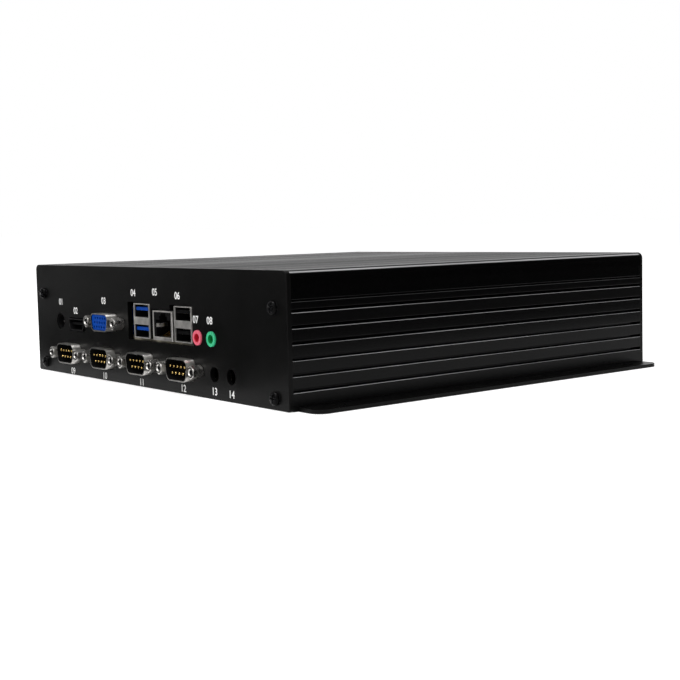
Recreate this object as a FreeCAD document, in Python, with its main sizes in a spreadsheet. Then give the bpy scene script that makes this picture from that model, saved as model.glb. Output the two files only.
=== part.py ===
"""Fanless box computer for a sales counter: a ribbed extrusion on a flanged base, with a connector panel."""
import FreeCAD, Part
import os
import re
import Sketcher

# Driving sizes in millimetres, angles in degrees
SIZES = {
    # Case
    "body_width": 210.0,
    "body_depth": 206.0,
    "body_height": 52.0,
    "side_wall": 7.0,
    "top_wall": 9.0,
    "inner_round": 3.0,
    "shoulder_round": 2.6,
    "foot_round": 0.8,
    "panel_thick": 2.0,
    "edge_break": 0.3,
    "base_thick": 1.5,
    # Ribs of the extrusion
    "rib_count": 6,
    "rib_pitch": 5.9,
    "lowest_rib": 6.85,
    "groove_width": 1.2,
    "groove_depth": 3.0,
    "lip_round": 0.3,
    "top_groove_count": 19,
    "top_groove_pitch": 11.0,
    "line_rise": 40.7,
    "line_width": 0.7,
    "line_depth": 0.5,
    # Mounting flanges
    "flange_width": 12.0,
    "flange_setback": 4.0,
    "flange_corner": 5.0,
    "flange_hole": 4.5,
    "flange_hole_inset": 15.0,
    # Screws of the case
    "screw_size": 3.0,
    "screw_slack": 0.1,
    "screw_pass": 3.4,
    "head_size": 5.4,
    "head_height": 1.7,
    "head_round": 0.8,
    "panel_screw_length": 9.0,
    "screw_drop": 13.9,
    "port_radius": 2.8,
    "port_sink": 1.3,
    "port_lift": 0.1,
    "sunk_head": 5.4,
    "sunk_length": 4.0,
    "base_screw_reach": 78.0,
    # Boards
    "board_depth": 160.0,
    "board_thick": 1.6,
    "board_left_gap": 9.0,
    "board_right_gap": 17.0,
    "board_gap": 1.0,
    "standoff_height": 18.25,
    "standoff_flats": 5.5,
    "standoff_side": 4.5,
    "standoff_front": 22.0,
    "standoff_back": 5.0,
    "serial_board_low": 4.0,
    "serial_board_height": 14.0,
    "serial_board_end": 16.0,
    "link_width": 30.0,
    "link_depth": 6.0,
    "link_drop": 9.0,
    # Heat path
    "chip_side": 24.0,
    "chip_height": 1.2,
    "chip_back": 102.0,
    "pad_height": 0.5,
    "block_side": 44.0,
    "block_ear": 11.0,
    "block_ear_height": 5.0,
    "ear_screw_depth": 4.0,
    # Memory, cell and drive
    "memory_length": 67.6,
    "memory_depth": 30.0,
    "memory_thick": 1.2,
    "memory_chip": 10.0,
    "memory_chip_height": 0.9,
    "memory_chip_pitch": 14.0,
    "memory_chip_setback": 18.0,
    "socket_height": 5.2,
    "socket_depth": 6.5,
    "socket_arm": 24.0,
    "socket_arm_width": 1.4,
    "memory_step": 24.5,
    "cell_size": 20.0,
    "cell_height": 3.2,
    "cell_rim": 1.5,
    "cell_floor": 1.4,
    "cell_right": 23.0,
    "cell_back": 55.0,
    "drive_length": 100.0,
    "drive_depth": 70.0,
    "drive_height": 7.0,
    "drive_x": 18.0,
    "drive_y": 5.0,
    "drive_hole_inset": 6.0,
    "choke_side": 7.0,
    "choke_height": 4.0,
    "choke_pitch": 10.0,
    "capacitor_size": 6.3,
    "capacitor_height": 8.0,
    "capacitor_pitch": 9.0,
    # Power inlet
    "dc_inset": 25.6,
    "dc_rise": 3.75,
    "dc_body_width": 9.0,
    "dc_body_height": 8.7,
    "dc_body_depth": 13.0,
    "dc_nose": 7.6,
    "dc_bore": 6.3,
    "dc_bore_depth": 9.5,
    "dc_pin": 2.1,
    "dc_pin_length": 8.0,
    "dc_pin_round": 0.5,
    "dc_recess": 0.4,
    # Digital video port
    "video_step": 17.2,
    "video_width": 15.0,
    "video_height": 5.6,
    "video_wall": 0.5,
    "video_notch": 1.4,
    "video_depth": 11.0,
    "video_tongue_width": 11.2,
    "video_tongue_thick": 1.1,
    # Analog video port
    "analog_step": 30.8,
    "analog_rise": 5.55,
    "analog_reach": 6.9,
    "analog_width": 16.4,
    "analog_height": 8.0,
    "analog_wall": 0.45,
    "analog_hole": 1.2,
    "analog_hole_pitch": 2.29,
    "analog_row_pitch": 1.98,
    "analog_hole_depth": 5.0,
    "analog_body_depth": 9.0,
    # D shells of both kinds
    "dee_slant": 10.0,
    "dee_round": 2.4,
    "dee_slack": 0.05,
    "dee_clear": 0.35,
    "dee_flange_width": 30.8,
    "dee_flange_height": 12.5,
    "dee_flange_thick": 0.8,
    "dee_flange_round": 1.2,
    "jack_spacing": 24.99,
    "jack_flats": 4.8,
    "jack_length": 5.0,
    "jack_thread": 2.8,
    "jack_tail": 5.0,
    "jack_bore": 2.3,
    "jack_bore_depth": 3.5,
    # Stacked ports
    "port_proud": 0.6,
    "port_cut_gap": 0.4,
    "port_cut_left": 6.2,
    "port_cut_step": 4.5,
    "port_cut_low": 1.2,
    "port_cut_round": 0.6,
    "nose_clear": 0.2,
    "blue_step": 31.1,
    "black_step": 16.2,
    "stack_width": 13.2,
    "stack_height": 14.95,
    "stack_depth": 17.4,
    "stack_wall": 0.45,
    "stack_mouth": 5.45,
    "stack_mouth_depth": 12.0,
    "tongue_width": 11.2,
    "tongue_thick": 1.4,
    "tongue_gap": 1.1,
    "tongue_recess": 0.9,
    # Network jack
    "network_step": 17.5,
    "network_width": 15.9,
    "network_height": 12.4,
    "network_depth": 20.0,
    "network_wall": 0.4,
    "window_left": 0.6,
    "window_right": 1.1,
    "window_top": 0.5,
    "window_low": 1.4,
    "network_mouth": 11.8,
    "network_mouth_height": 7.0,
    "network_mouth_rise": 1.6,
    "latch_width": 6.2,
    "latch_height": 1.6,
    "latch_tip_width": 4.0,
    "latch_tip_height": 1.0,
    "network_mouth_depth": 13.0,
    "contact_pitch": 1.02,
    "contact_thick": 0.45,
    "contact_recess": 2.0,
    "contact_length": 9.0,
    # Audio jacks
    "microphone_step": 10.4,
    "speaker_step": 10.2,
    "audio_rise": 2.7,
    "audio_nose": 6.1,
    "audio_proud": 0.6,
    "audio_bore": 3.6,
    "audio_bore_depth": 12.0,
    "audio_body_width": 7.2,
    "audio_body_height": 6.3,
    "audio_body_depth": 13.0,
    # Serial ports
    "serial_inset": 36.8,
    "serial_pitch": 33.6,
    "serial_rise": 10.4,
    "serial_width": 16.92,
    "serial_height": 8.36,
    "serial_wall": 0.5,
    "serial_reach": 6.1,
    "serial_face": 1.4,
    "serial_body_depth": 9.0,
    "pin_size": 1.0,
    "pin_length": 4.9,
    "pin_pitch": 2.77,
    "pin_row_pitch": 2.84,
    # Antenna holes
    "antenna_step": 22.7,
    "antenna_pitch": 11.9,
    "antenna_hole": 6.2,
    "antenna_rise": 9.95,
    # Power switch and lamps on the hidden panel
    "button_inset": 25.0,
    "button_rise": 28.0,
    "button_size": 9.4,
    "button_slack": 0.3,
    "button_proud": 2.0,
    "button_skirt": 5.4,
    "button_round": 0.8,
    "stem_size": 3.0,
    "stem_slack": 0.4,
    "collar_size": 5.0,
    "collar_thick": 0.8,
    "collar_gap": 0.1,
    "collar_slack": 0.4,
    "bushing_size": 12.0,
    "bushing_flange": 14.4,
    "bushing_flange_thick": 1.3,
    "bushing_flange_round": 0.6,
    "bushing_length": 12.0,
    "bushing_floor": 2.0,
    "nut_flats": 14.0,
    "nut_thick": 2.2,
    "nut_slack": 0.05,
    "switch_size": 11.4,
    "switch_length": 10.0,
    "switch_recess": 3.0,
    "spring_size": 5.2,
    "spring_wire": 0.6,
    "spring_turns": 5,
    "spring_end_gap": 0.1,
    "lamp_first": 16.0,
    "lamp_pitch": 10.0,
    "lamp_size": 3.0,
    "lamp_proud": 0.8,
    "lamp_round": 0.6,
    "lamp_foot": 3.9,
    "lamp_foot_thick": 1.0,
    "lamp_slack": 0.05,
    "holder_size": 6.0,
    "holder_length": 4.0,
}

# Planes and heights that the pieces share
FRONT = "(-body_depth / 2)"
INNER = "(-body_depth / 2 + panel_thick)"
BACK = "(body_depth / 2)"
BACK_INNER = "(body_depth / 2 - panel_thick)"
CEILING = "(body_height - top_wall)"
CASE_LENGTH = "(body_depth - 2 * panel_thick)"
BOARD_FLOOR = "(base_thick + standoff_height)"
BOARD_TOP = "(base_thick + standoff_height + board_thick)"
BOARD_FRONT = "(-body_depth / 2 + panel_thick + board_gap)"
BOARD_LEFT = "(-body_width / 2 + side_wall + board_left_gap)"
BOARD_RIGHT = "(body_width / 2 - side_wall - board_right_gap)"
CHIP_Y = f"({BOARD_FRONT} + chip_back)"
MEMORY_Y = f"({CHIP_Y} + memory_step)"
CHIP_TOP = f"({BOARD_TOP} + chip_height)"
PAD_TOP = f"({CHIP_TOP} + pad_height)"
PROUD = "(-body_depth / 2 - port_proud)"

# Places of the case screws
SCREW_X = "(body_width / 2 - side_wall - port_radius + port_sink)"
SCREW_LOW = "(base_thick + port_radius + port_lift)"
SCREW_HIGH = "(body_height - screw_drop)"
PANEL_SCREWS = [(f"{side} * {SCREW_X}", height) for side in (-1, 1) for height in (SCREW_LOW, SCREW_HIGH)]
BASE_SCREW_X = "(body_width / 2 - side_wall / 2)"
BASE_SCREWS = [
    (f"{side} * {BASE_SCREW_X}", f"{row} * base_screw_reach") for side in (-1, 1) for row in (-1, 0, 1)
]
DRIVE_HOLE_X, DRIVE_HOLE_Y = "(drive_length / 2 - drive_hole_inset)", "(drive_depth / 2 - drive_hole_inset)"
DRIVE_SCREWS = [
    (f"drive_x + {side} * {DRIVE_HOLE_X}", f"drive_y + {row} * {DRIVE_HOLE_Y}")
    for side in (-1, 1)
    for row in (-1, 1)
]
EAR_SCREWS = [
    (f"{side} * (block_side / 2 + block_ear / 2)", f"{CHIP_Y} + {row} * block_side / 4")
    for side in (-1, 1)
    for row in (-1, 1)
]
STANDOFFS = [
    (side, row)
    for side in (f"{BOARD_LEFT} + standoff_side", f"{BOARD_RIGHT} - standoff_side")
    for row in (f"{BOARD_FRONT} + standoff_front", f"{BOARD_FRONT} + board_depth - standoff_back")
]

# Places of the connectors across the panel, each a step from its neighbour
DC_X = "(-body_width / 2 + dc_inset)"
VIDEO_X = f"({DC_X} + video_step)"
ANALOG_X = f"({VIDEO_X} + analog_step)"
BLUE_X = f"({ANALOG_X} + blue_step)"
NETWORK_X = f"({BLUE_X} + network_step)"
BLACK_X = f"({NETWORK_X} + black_step)"
MICROPHONE_X = f"({BLACK_X} + microphone_step)"
SPEAKER_X = f"({MICROPHONE_X} + speaker_step)"
SERIAL_PORTS = 4
SERIAL_X = [f"(-body_width / 2 + serial_inset + {port} * serial_pitch)" for port in range(SERIAL_PORTS)]
ANTENNA_X = [f"({SERIAL_X[-1]} + antenna_step + {hole} * antenna_pitch)" for hole in range(2)]
DC_Z = f"({BOARD_TOP} + dc_rise)"
VIDEO_Z = f"({BOARD_TOP} + video_height / 2)"
ANALOG_Z = f"({BOARD_TOP} + analog_rise)"
AUDIO_Z = f"({BOARD_TOP} + audio_rise)"
STACK_Z = f"({BOARD_TOP} + stack_height / 2)"
BUTTON_X = "(-body_width / 2 + button_inset)"
LAMP_X = [f"({BUTTON_X} + lamp_first + {lamp} * lamp_pitch)" for lamp in range(2)]

# The document, its sheet of sizes and the sub-parts in the order they are made
doc = FreeCAD.newDocument("counter_computer")
sheet = doc.addObject("Spreadsheet::Sheet", "dims")
for row, (alias, size) in enumerate(SIZES.items(), start=1):
    sheet.set(f"A{row}", alias)
    sheet.set(f"B{row}", str(size))
    sheet.setAlias(f"B{row}", alias)
doc.recompute()
WORD = re.compile(r"[a-z][a-z_0-9]*")
nodes = []


def cells(text):
    """A size written with the sheet's names, as the document's expressions write it."""
    return WORD.sub(lambda word: ("dims." if word.group() in SIZES else "") + word.group(), str(text))


def number(text):
    """The present value of such a size."""
    return float(sheet.evalExpression(cells(text)))


def bind(item, prop, text):
    item.setExpression(prop, cells(text))


def keep(item, label):
    """Names a finished sub-part and lists it."""
    item.Label = label
    nodes.append(item)
    return item


# Sketches and features


def new_body(label):
    return keep(doc.addObject("PartDesign::Body", label), label)


def sketch_on(body, plane, offset, loops):
    """A sketch on one of the body's own planes, moved along the plane's normal, with closed loops."""
    sketch = body.newObject("Sketcher::SketchObject", "outline")
    datum = next(feature for feature in body.Origin.OriginFeatures if feature.Role == plane)
    sketch.AttachmentSupport = [(datum, "")]
    sketch.MapMode = "FlatFace"
    bind(sketch, "AttachmentOffset.Base.z", offset)
    for loop in loops:
        loop(sketch)
    return sketch


def hold(sketch, kind, places, text):
    """One dimension of a sketch, bound to the sheet."""
    index = sketch.addConstraint(Sketcher.Constraint(kind, *places, number(text)))
    bind(sketch, f"Constraints[{index}]", text)


def polygon(corners, radii=None):
    """A closed loop through corners; radii rounds some of them, by the corner's index."""

    def draw(sketch):
        first = sketch.GeometryCount
        count = len(corners)
        spots = [FreeCAD.Vector(number(across), number(up), 0) for across, up in corners]
        for k in range(count):
            sketch.addGeometry(Part.LineSegment(spots[k], spots[(k + 1) % count]))
        for k, (across, up) in enumerate(corners):
            sketch.addConstraint(Sketcher.Constraint("Coincident", first + k, 2, first + (k + 1) % count, 1))
            hold(sketch, "DistanceX", (-1, 1, first + k, 1), across)
            hold(sketch, "DistanceY", (-1, 1, first + k, 1), up)
        arcs = []
        for k, radius in (radii or {}).items():
            sketch.fillet(first + k, 1, number(radius), True, True)
            arcs.append((sketch.GeometryCount - 2, radius))
        for arc, radius in arcs:
            hold(sketch, "Radius", (arc,), radius)

    return draw


def rectangle(centre, width, height, radius=None):
    across, up = centre
    left, right = f"{across} - ({width}) / 2", f"{across} + ({width}) / 2"
    low, high = f"{up} - ({height}) / 2", f"{up} + ({height}) / 2"
    corners = [(left, low), (right, low), (right, high), (left, high)]
    return polygon(corners, dict.fromkeys(range(4), radius) if radius else None)


def circle(centre, radius):
    across, up = centre

    def draw(sketch):
        spot = FreeCAD.Vector(number(across), number(up), 0)
        index = sketch.addGeometry(Part.Circle(spot, FreeCAD.Vector(0, 0, 1), number(radius)))
        hold(sketch, "DistanceX", (-1, 1, index, 3), across)
        hold(sketch, "DistanceY", (-1, 1, index, 3), up)
        hold(sketch, "Radius", (index,), radius)

    return draw


def dee(centre, width, height, grow="0"):
    """The D outline of a shell, wide side up, grown on all sides."""
    across, up = centre
    half = f"(({width}) / 2 + ({grow}))"
    rise = f"(({height}) / 2 + ({grow}))"
    foot = f"({half} - 2 * {rise} * tan(dee_slant * 1 deg))"
    corners = [
        (f"{across} - {foot}", f"{up} - {rise}"),
        (f"{across} + {foot}", f"{up} - {rise}"),
        (f"{across} + {half}", f"{up} + {rise}"),
        (f"{across} - {half}", f"{up} + {rise}"),
    ]
    return polygon(corners, dict.fromkeys(range(4), f"dee_round + ({grow})"))


def feature_of(body, kind, sketch, length, reverse):
    feature = body.newObject(kind, "feature")
    feature.Profile = sketch
    feature.Reversed = reverse
    bind(feature, "Length", length)
    return feature


def pad_back(body, loops, start, length):
    """Adds material from the plane y = start towards +Y."""
    outline = sketch_on(body, "XZ_Plane", f"-{start}", loops)
    return feature_of(body, "PartDesign::Pad", outline, length, True)


def cut_back(body, loops, start, length):
    """Takes material from the plane y = start towards +Y."""
    outline = sketch_on(body, "XZ_Plane", f"-{start}", loops)
    return feature_of(body, "PartDesign::Pocket", outline, length, False)


def pad_up(body, loops, start, length):
    """Adds material from the plane z = start upwards."""
    return feature_of(body, "PartDesign::Pad", sketch_on(body, "XY_Plane", start, loops), length, False)


def cut_up(body, loops, start, length):
    """Takes material from the plane z = start upwards."""
    return feature_of(body, "PartDesign::Pocket", sketch_on(body, "XY_Plane", start, loops), length, True)


def repeat(body, feature, axis, pitch, count):
    """A row of copies of a feature along an axis of its sketch."""
    row = body.newObject("PartDesign::LinearPattern", "row")
    row.Originals = [feature]
    row.Direction = (feature.Profile[0], [axis])
    row.Mode = "Spacing"
    bind(row, "Offset", pitch)
    bind(row, "Occurrences", count)
    body.Tip = row
    return row


def round_edges(body, radius, chosen):
    """Rounds the edges of the body's present solid whose middle and direction pass the test."""
    doc.recompute()
    tip = body.Tip
    names = []
    for index, edge in enumerate(tip.Shape.Edges, start=1):
        middle = edge.valueAt((edge.FirstParameter + edge.LastParameter) / 2)
        if chosen(edge, middle):
            names.append(f"Edge{index}")
    fillet = body.newObject("PartDesign::Fillet", "rounding")
    fillet.Base = (tip, names)
    bind(fillet, "Radius", radius)
    return fillet


def sunk_holes(body, places):
    """Countersunk screw holes from the underside of the base plate."""
    loops = [circle(place, "screw_pass / 2") for place in places]
    sketch = sketch_on(body, "XY_Plane", "0", loops)
    doc.recompute()
    hole = body.newObject("PartDesign::Hole", "sunk_holes")
    hole.Profile = sketch
    hole.Reversed = True
    hole.ThreadType = "None"
    hole.DepthType = "ThroughAll"
    bind(hole, "Diameter", "screw_pass")
    hole.HoleCutType = "Countersink"
    bind(hole, "HoleCutDiameter", "sunk_head")
    hole.HoleCutCountersinkAngle = 90
    return hole


# Solids that come in groups

UPWARD = FreeCAD.Rotation()
DOWNWARD = FreeCAD.Rotation(FreeCAD.Vector(1, 0, 0), 180)
BACKWARD = FreeCAD.Rotation(FreeCAD.Vector(1, 0, 0), -90)
FORWARD = FreeCAD.Rotation(FreeCAD.Vector(1, 0, 0), 90)


def put(item, spot, turn=UPWARD):
    item.Placement = FreeCAD.Placement(FreeCAD.Vector(), turn)
    for axis, text in zip("xyz", spot):
        bind(item, f"Placement.Base.{axis}", text)
    return item


def block(spot, size):
    box = put(doc.addObject("Part::Box", "block"), spot)
    for prop, text in zip(("Length", "Width", "Height"), size):
        bind(box, prop, text)
    return box


def rod(spot, radius, length, turn):
    cylinder = put(doc.addObject("Part::Cylinder", "rod"), spot, turn)
    bind(cylinder, "Radius", radius)
    bind(cylinder, "Height", length)
    return cylinder


def taper(spot, radius, end_radius, length, turn):
    cone = put(doc.addObject("Part::Cone", "taper"), spot, turn)
    bind(cone, "Radius1", radius)
    bind(cone, "Radius2", end_radius)
    bind(cone, "Height", length)
    return cone


def hexagon(spot, flats, length, turn):
    prism = put(doc.addObject("Part::Prism", "hexagon"), spot, turn)
    prism.Polygon = 6
    bind(prism, "Circumradius", f"({flats}) / sqrt(3)")
    bind(prism, "Height", length)
    return prism


def joined(parts):
    whole = doc.addObject("Part::MultiFuse", "joined")
    whole.Shapes = parts
    return whole


def without(base, tool):
    cut = doc.addObject("Part::Cut", "cut")
    cut.Base = base
    cut.Tool = tool
    return cut


def rounded_rim(item, radius, height):
    """Rounds the circular edge of a turned solid that lies at a height along its own axis."""
    doc.recompute()
    local = item.Placement.inverse()
    level = number(height)
    rims = []
    for index, edge in enumerate(item.Shape.Edges, start=1):
        spot = local.multVec(edge.valueAt(edge.FirstParameter))
        if edge.isClosed() and abs(spot.z - level) < 1e-6:
            rims.append((index, number(radius), number(radius)))
    soft = doc.addObject("Part::Fillet", "rounded")
    soft.Base = item
    soft.Edges = rims
    return soft


def group(label, parts):
    """Like pieces that share one node as separate solids."""
    compound = doc.addObject("Part::Compound", label)
    compound.Links = parts
    return keep(compound, label)


def pan_screw(spot, length, out, into):
    """Round-headed screw whose head bears on the spot, with its shank the other way."""
    head = rounded_rim(rod(spot, "head_size / 2", "head_height", out), "head_round", "head_height")
    return joined([head, rod(spot, "(screw_size - screw_slack) / 2", length, into)])


def sunk_screw(place, length):
    """Flat-headed screw from below, flush with the underside of the base plate."""
    spot, shank = (*place, "0"), "(screw_size - screw_slack) / 2"
    head = taper(spot, "sunk_head / 2", shank, f"sunk_head / 2 - {shank}", UPWARD)
    return joined([head, rod(spot, shank, f"base_thick + {length}", UPWARD)])


def jack_screw(across, up):
    """Hexagonal jack screw: threaded bore in front of the panel, threaded tail through the shell's flange."""
    nose = (across, f"{FRONT} - jack_length", up)
    head = hexagon(nose, "jack_flats", "jack_length", BACKWARD)
    tail = rod((across, FRONT, up), "jack_thread / 2", "jack_tail", BACKWARD)
    return without(joined([head, tail]), rod(nose, "jack_bore / 2", "jack_bore_depth", BACKWARD))


# Case


def make_top_housing():
    """Inverted-U extrusion with grooves that leave wide flush ribs, and four screw ports in its corners."""
    body = new_body("top_housing")
    half, wall = "body_width / 2", "(body_width / 2 - side_wall)"
    section = [
        (f"-{half}", "base_thick"),
        (f"-{half}", "body_height"),
        (half, "body_height"),
        (half, "base_thick"),
        (wall, "base_thick"),
        (wall, CEILING),
        (f"-{wall}", CEILING),
        (f"-{wall}", "base_thick"),
    ]
    rounds = {1: "shoulder_round", 2: "shoulder_round", 5: "inner_round", 6: "inner_round"}
    pad_back(body, [polygon(section, rounds)], INNER, CASE_LENGTH)
    pad_back(body, [circle(place, "port_radius") for place in PANEL_SCREWS], INNER, CASE_LENGTH)
    cut_back(body, [circle(place, "screw_size / 2") for place in PANEL_SCREWS], INNER, CASE_LENGTH)

    def both_sides(height, depth, width):
        return [rectangle((f"{side} * ({half} - {depth} / 2)", height), depth, width) for side in (-1, 1)]

    grooves = both_sides("lowest_rib + groove_width / 2", "groove_depth", "groove_width")
    repeat(body, cut_back(body, grooves, INNER, CASE_LENGTH), "V_Axis", "rib_pitch", "rib_count")
    cut_back(body, both_sides("line_rise", "line_depth", "line_width"), INNER, CASE_LENGTH)
    first = "-(top_groove_count - 1) / 2 * top_groove_pitch"
    top = rectangle((first, "body_height - groove_depth / 2"), "groove_width", "groove_depth")
    repeat(body, cut_back(body, [top], INNER, CASE_LENGTH), "H_Axis", "top_groove_pitch", "top_groove_count")
    reach, crown, foot = number(half), number("body_height"), number("base_thick")
    shoulder = number("shoulder_round + lip_round")

    def is_lip(edge, middle):
        along = abs(edge.tangentAt(edge.FirstParameter).y) > 0.99
        on_side = abs(abs(middle.x) - reach) < 1e-4 and foot + 1e-4 < middle.z < crown - shoulder
        on_top = abs(middle.z - crown) < 1e-4 and abs(middle.x) < reach - shoulder
        return along and (on_side or on_top)

    round_edges(body, "lip_round", is_lip)
    cut_up(body, [circle(place, "screw_size / 2") for place in BASE_SCREWS], "base_thick", "sunk_length")
    cut_up(body, [circle(place, "screw_size / 2") for place in EAR_SCREWS], CEILING, "ear_screw_depth")


def make_base_plate():
    """Flat sheet under the case, wider along both sides, with rounded flange corners and bolt holes."""
    body = new_body("base_plate")
    side, flange = "body_width / 2", "(body_width / 2 + flange_width)"
    end, setback = "(body_depth / 2 - panel_thick)", "(body_depth / 2 - flange_setback)"
    right = [
        (side, f"-{end}"),
        (side, f"-{setback}"),
        (flange, f"-{setback}"),
        (flange, setback),
        (side, setback),
        (side, end),
    ]
    left = [(f"-{across}", f"-({along})") for across, along in right]
    pad_up(body, [polygon(right + left, dict.fromkeys((2, 3, 8, 9), "flange_corner"))], "0", "base_thick")
    bolts = [
        (f"{across} * (body_width / 2 + flange_width / 2)", f"{along} * ({setback} - flange_hole_inset)")
        for across in (-1, 1)
        for along in (-1, 1)
    ]
    cut_up(body, [circle(place, "flange_hole / 2") for place in bolts], "0", "base_thick")
    sunk_holes(body, BASE_SCREWS + DRIVE_SCREWS)


def plain_panel(label, near, outer):
    """End plate with the case's outline, from its nearer plane on, with a broken edge on its outer face."""
    body = new_body(label)
    corners = [
        ("-body_width / 2", "0"),
        ("body_width / 2", "0"),
        ("body_width / 2", "body_height"),
        ("-body_width / 2", "body_height"),
    ]
    rounds = {0: "foot_round", 1: "foot_round", 2: "shoulder_round", 3: "shoulder_round"}
    pad_back(body, [polygon(corners, rounds)], near, "panel_thick")
    face = number(outer)
    round_edges(body, "edge_break", lambda edge, middle: all(abs(v.Y - face) < 1e-6 for v in edge.Vertexes))
    return body


def port_cut():
    """Opening for both stacks and the network jack, lower above the jack and wider beside the stacks."""
    left = f"{BLUE_X} - stack_width / 2 - port_cut_left"
    blue_right = f"{BLUE_X} + stack_width / 2 + port_cut_gap"
    black_left = f"{BLACK_X} - stack_width / 2 - port_cut_step"
    right = f"{BLACK_X} + stack_width / 2 + port_cut_gap"
    low = f"{BOARD_TOP} - port_cut_low"
    high = f"{BOARD_TOP} + stack_height + port_cut_gap"
    over_jack = f"{BOARD_TOP} + network_height + port_cut_gap"
    corners = [
        (left, low),
        (right, low),
        (right, high),
        (black_left, high),
        (black_left, over_jack),
        (blue_right, over_jack),
        (blue_right, high),
        (left, high),
    ]
    return polygon(corners, {corner: "port_cut_round" for corner in range(len(corners))})


def make_io_panel():
    body = plain_panel("io_panel", FRONT, FRONT)
    video_cut = ("video_width + 2 * port_cut_gap", "video_height + 2 * port_cut_gap")
    openings = [
        port_cut(),
        circle((DC_X, DC_Z), "dc_nose / 2 + nose_clear"),
        rectangle((VIDEO_X, VIDEO_Z), *video_cut, "port_cut_round"),
        dee((ANALOG_X, ANALOG_Z), "analog_width", "analog_height", "dee_clear"),
    ]
    for across in (MICROPHONE_X, SPEAKER_X):
        openings.append(circle((across, AUDIO_Z), "audio_nose / 2 + nose_clear"))
    for across in SERIAL_X:
        centre = (across, "serial_rise")
        openings.append(dee(centre, "serial_width", "serial_height", "serial_wall + dee_clear"))
    openings += [circle((across, "antenna_rise"), "antenna_hole / 2") for across in ANTENNA_X]
    openings += [circle(place, "screw_pass / 2") for place in PANEL_SCREWS]
    shells = [(ANALOG_X, ANALOG_Z)] + [(across, "serial_rise") for across in SERIAL_X]
    for shell in shells:
        openings += [circle(place, "jack_thread / 2 + screw_slack") for place in jack_places(*shell)]
    cut_back(body, openings, FRONT, "panel_thick")


def make_front_panel():
    body = plain_panel("front_panel", BACK_INNER, BACK)
    openings = [circle(place, "screw_pass / 2") for place in PANEL_SCREWS]
    openings.append(circle((BUTTON_X, "button_rise"), "bushing_size / 2 + nut_slack"))
    openings += [circle((across, "button_rise"), "lamp_size / 2 + lamp_slack") for across in LAMP_X]
    cut_back(body, openings, BACK_INNER, "panel_thick")


def make_case_screws():
    front = [pan_screw((x, FRONT, z), "panel_screw_length", FORWARD, BACKWARD) for x, z in PANEL_SCREWS]
    group("io_panel_screws", front)
    back = [pan_screw((x, BACK, z), "panel_screw_length", BACKWARD, FORWARD) for x, z in PANEL_SCREWS]
    group("front_panel_screws", back)
    group("base_screws", [sunk_screw(place, "sunk_length - screw_slack") for place in BASE_SCREWS])


# Boards and what they carry


def make_mainboard():
    body = new_body("mainboard")
    middle = (f"({BOARD_LEFT} + {BOARD_RIGHT}) / 2", f"{BOARD_FRONT} + board_depth / 2")
    loops = [rectangle(middle, f"{BOARD_RIGHT} - {BOARD_LEFT}", "board_depth", "2 * board_thick")]
    loops += [circle(place, "screw_pass / 2") for place in STANDOFFS]
    pad_up(body, loops, BOARD_FLOOR, "board_thick")


def make_standoffs():
    posts = []
    for x, y in STANDOFFS:
        post = hexagon((x, y, "base_thick"), "standoff_flats", "standoff_height", UPWARD)
        posts.append(without(post, rod((x, y, "base_thick"), "screw_size / 2", "standoff_height", UPWARD)))
    group("board_standoffs", posts)
    screws = [pan_screw((x, y, BOARD_TOP), "standoff_height / 2", UPWARD, DOWNWARD) for x, y in STANDOFFS]
    group("board_screws", screws)


def make_heat_path():
    """Processor, pad and the block that carries its heat up to the ribbed case."""
    chip = new_body("processor")
    package = rectangle(("0", CHIP_Y), "chip_side", "chip_side", "chip_height")
    pad_up(chip, [package], BOARD_TOP, "chip_height")
    sheet_pad = new_body("thermal_pad")
    pad_up(sheet_pad, [rectangle(("0", CHIP_Y), "chip_side", "chip_side")], CHIP_TOP, "pad_height")
    heat_block = new_body("heat_block")
    column = rectangle(("0", CHIP_Y), "block_side", "block_side", "inner_round")
    pad_up(heat_block, [column], PAD_TOP, f"{CEILING} - {PAD_TOP}")
    ears = rectangle(("0", CHIP_Y), "block_side + 2 * block_ear", "block_side", "inner_round")
    under_ears = f"({CEILING} - block_ear_height)"
    pad_up(heat_block, [ears], under_ears, "block_ear_height")
    holes = [circle(place, "screw_pass / 2") for place in EAR_SCREWS]
    cut_up(heat_block, holes, under_ears, "block_ear_height")
    reach = "block_ear_height + ear_screw_depth - screw_slack"
    screws = [pan_screw((x, y, under_ears), reach, DOWNWARD, UPWARD) for x, y in EAR_SCREWS]
    group("heat_block_screws", screws)


def make_memory():
    """Socket along the module's contact edge with an arm down each side, and the module flat in its slot."""
    socket = new_body("memory_socket")
    width = "(memory_length + 2 * socket_arm_width)"
    bar = rectangle(("0", f"{MEMORY_Y} + socket_depth / 2"), width, "socket_depth")
    pad_up(socket, [bar], BOARD_TOP, "socket_height")
    arm_y = f"{MEMORY_Y} + socket_depth + socket_arm / 2"
    arm_places = [(f"{side} * (memory_length + socket_arm_width) / 2", arm_y) for side in (-1, 1)]
    arms = [rectangle(place, "socket_arm_width", "socket_arm") for place in arm_places]
    pad_up(socket, arms, BOARD_TOP, "socket_height")
    slot_y = f"({MEMORY_Y} + socket_depth / 2)"
    slot_z = f"({BOARD_TOP} + socket_height / 2 - memory_thick / 2)"
    slot = rectangle(("0", f"{slot_z} + memory_thick / 2"), "memory_length", "memory_thick")
    cut_back(socket, [slot], slot_y, "socket_depth / 2")
    module = new_body("memory_module")
    strip = rectangle(("0", f"{slot_y} + memory_depth / 2"), "memory_length", "memory_depth")
    pad_up(module, [strip], slot_z, "memory_thick")
    chip_places = [(f"{k} * memory_chip_pitch", f"{slot_y} + memory_chip_setback") for k in (-2, -1, 1, 2)]
    chips = [rectangle(place, "memory_chip", "memory_chip") for place in chip_places]
    pad_up(module, chips, f"({slot_z} + memory_thick)", "memory_chip_height")


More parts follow.
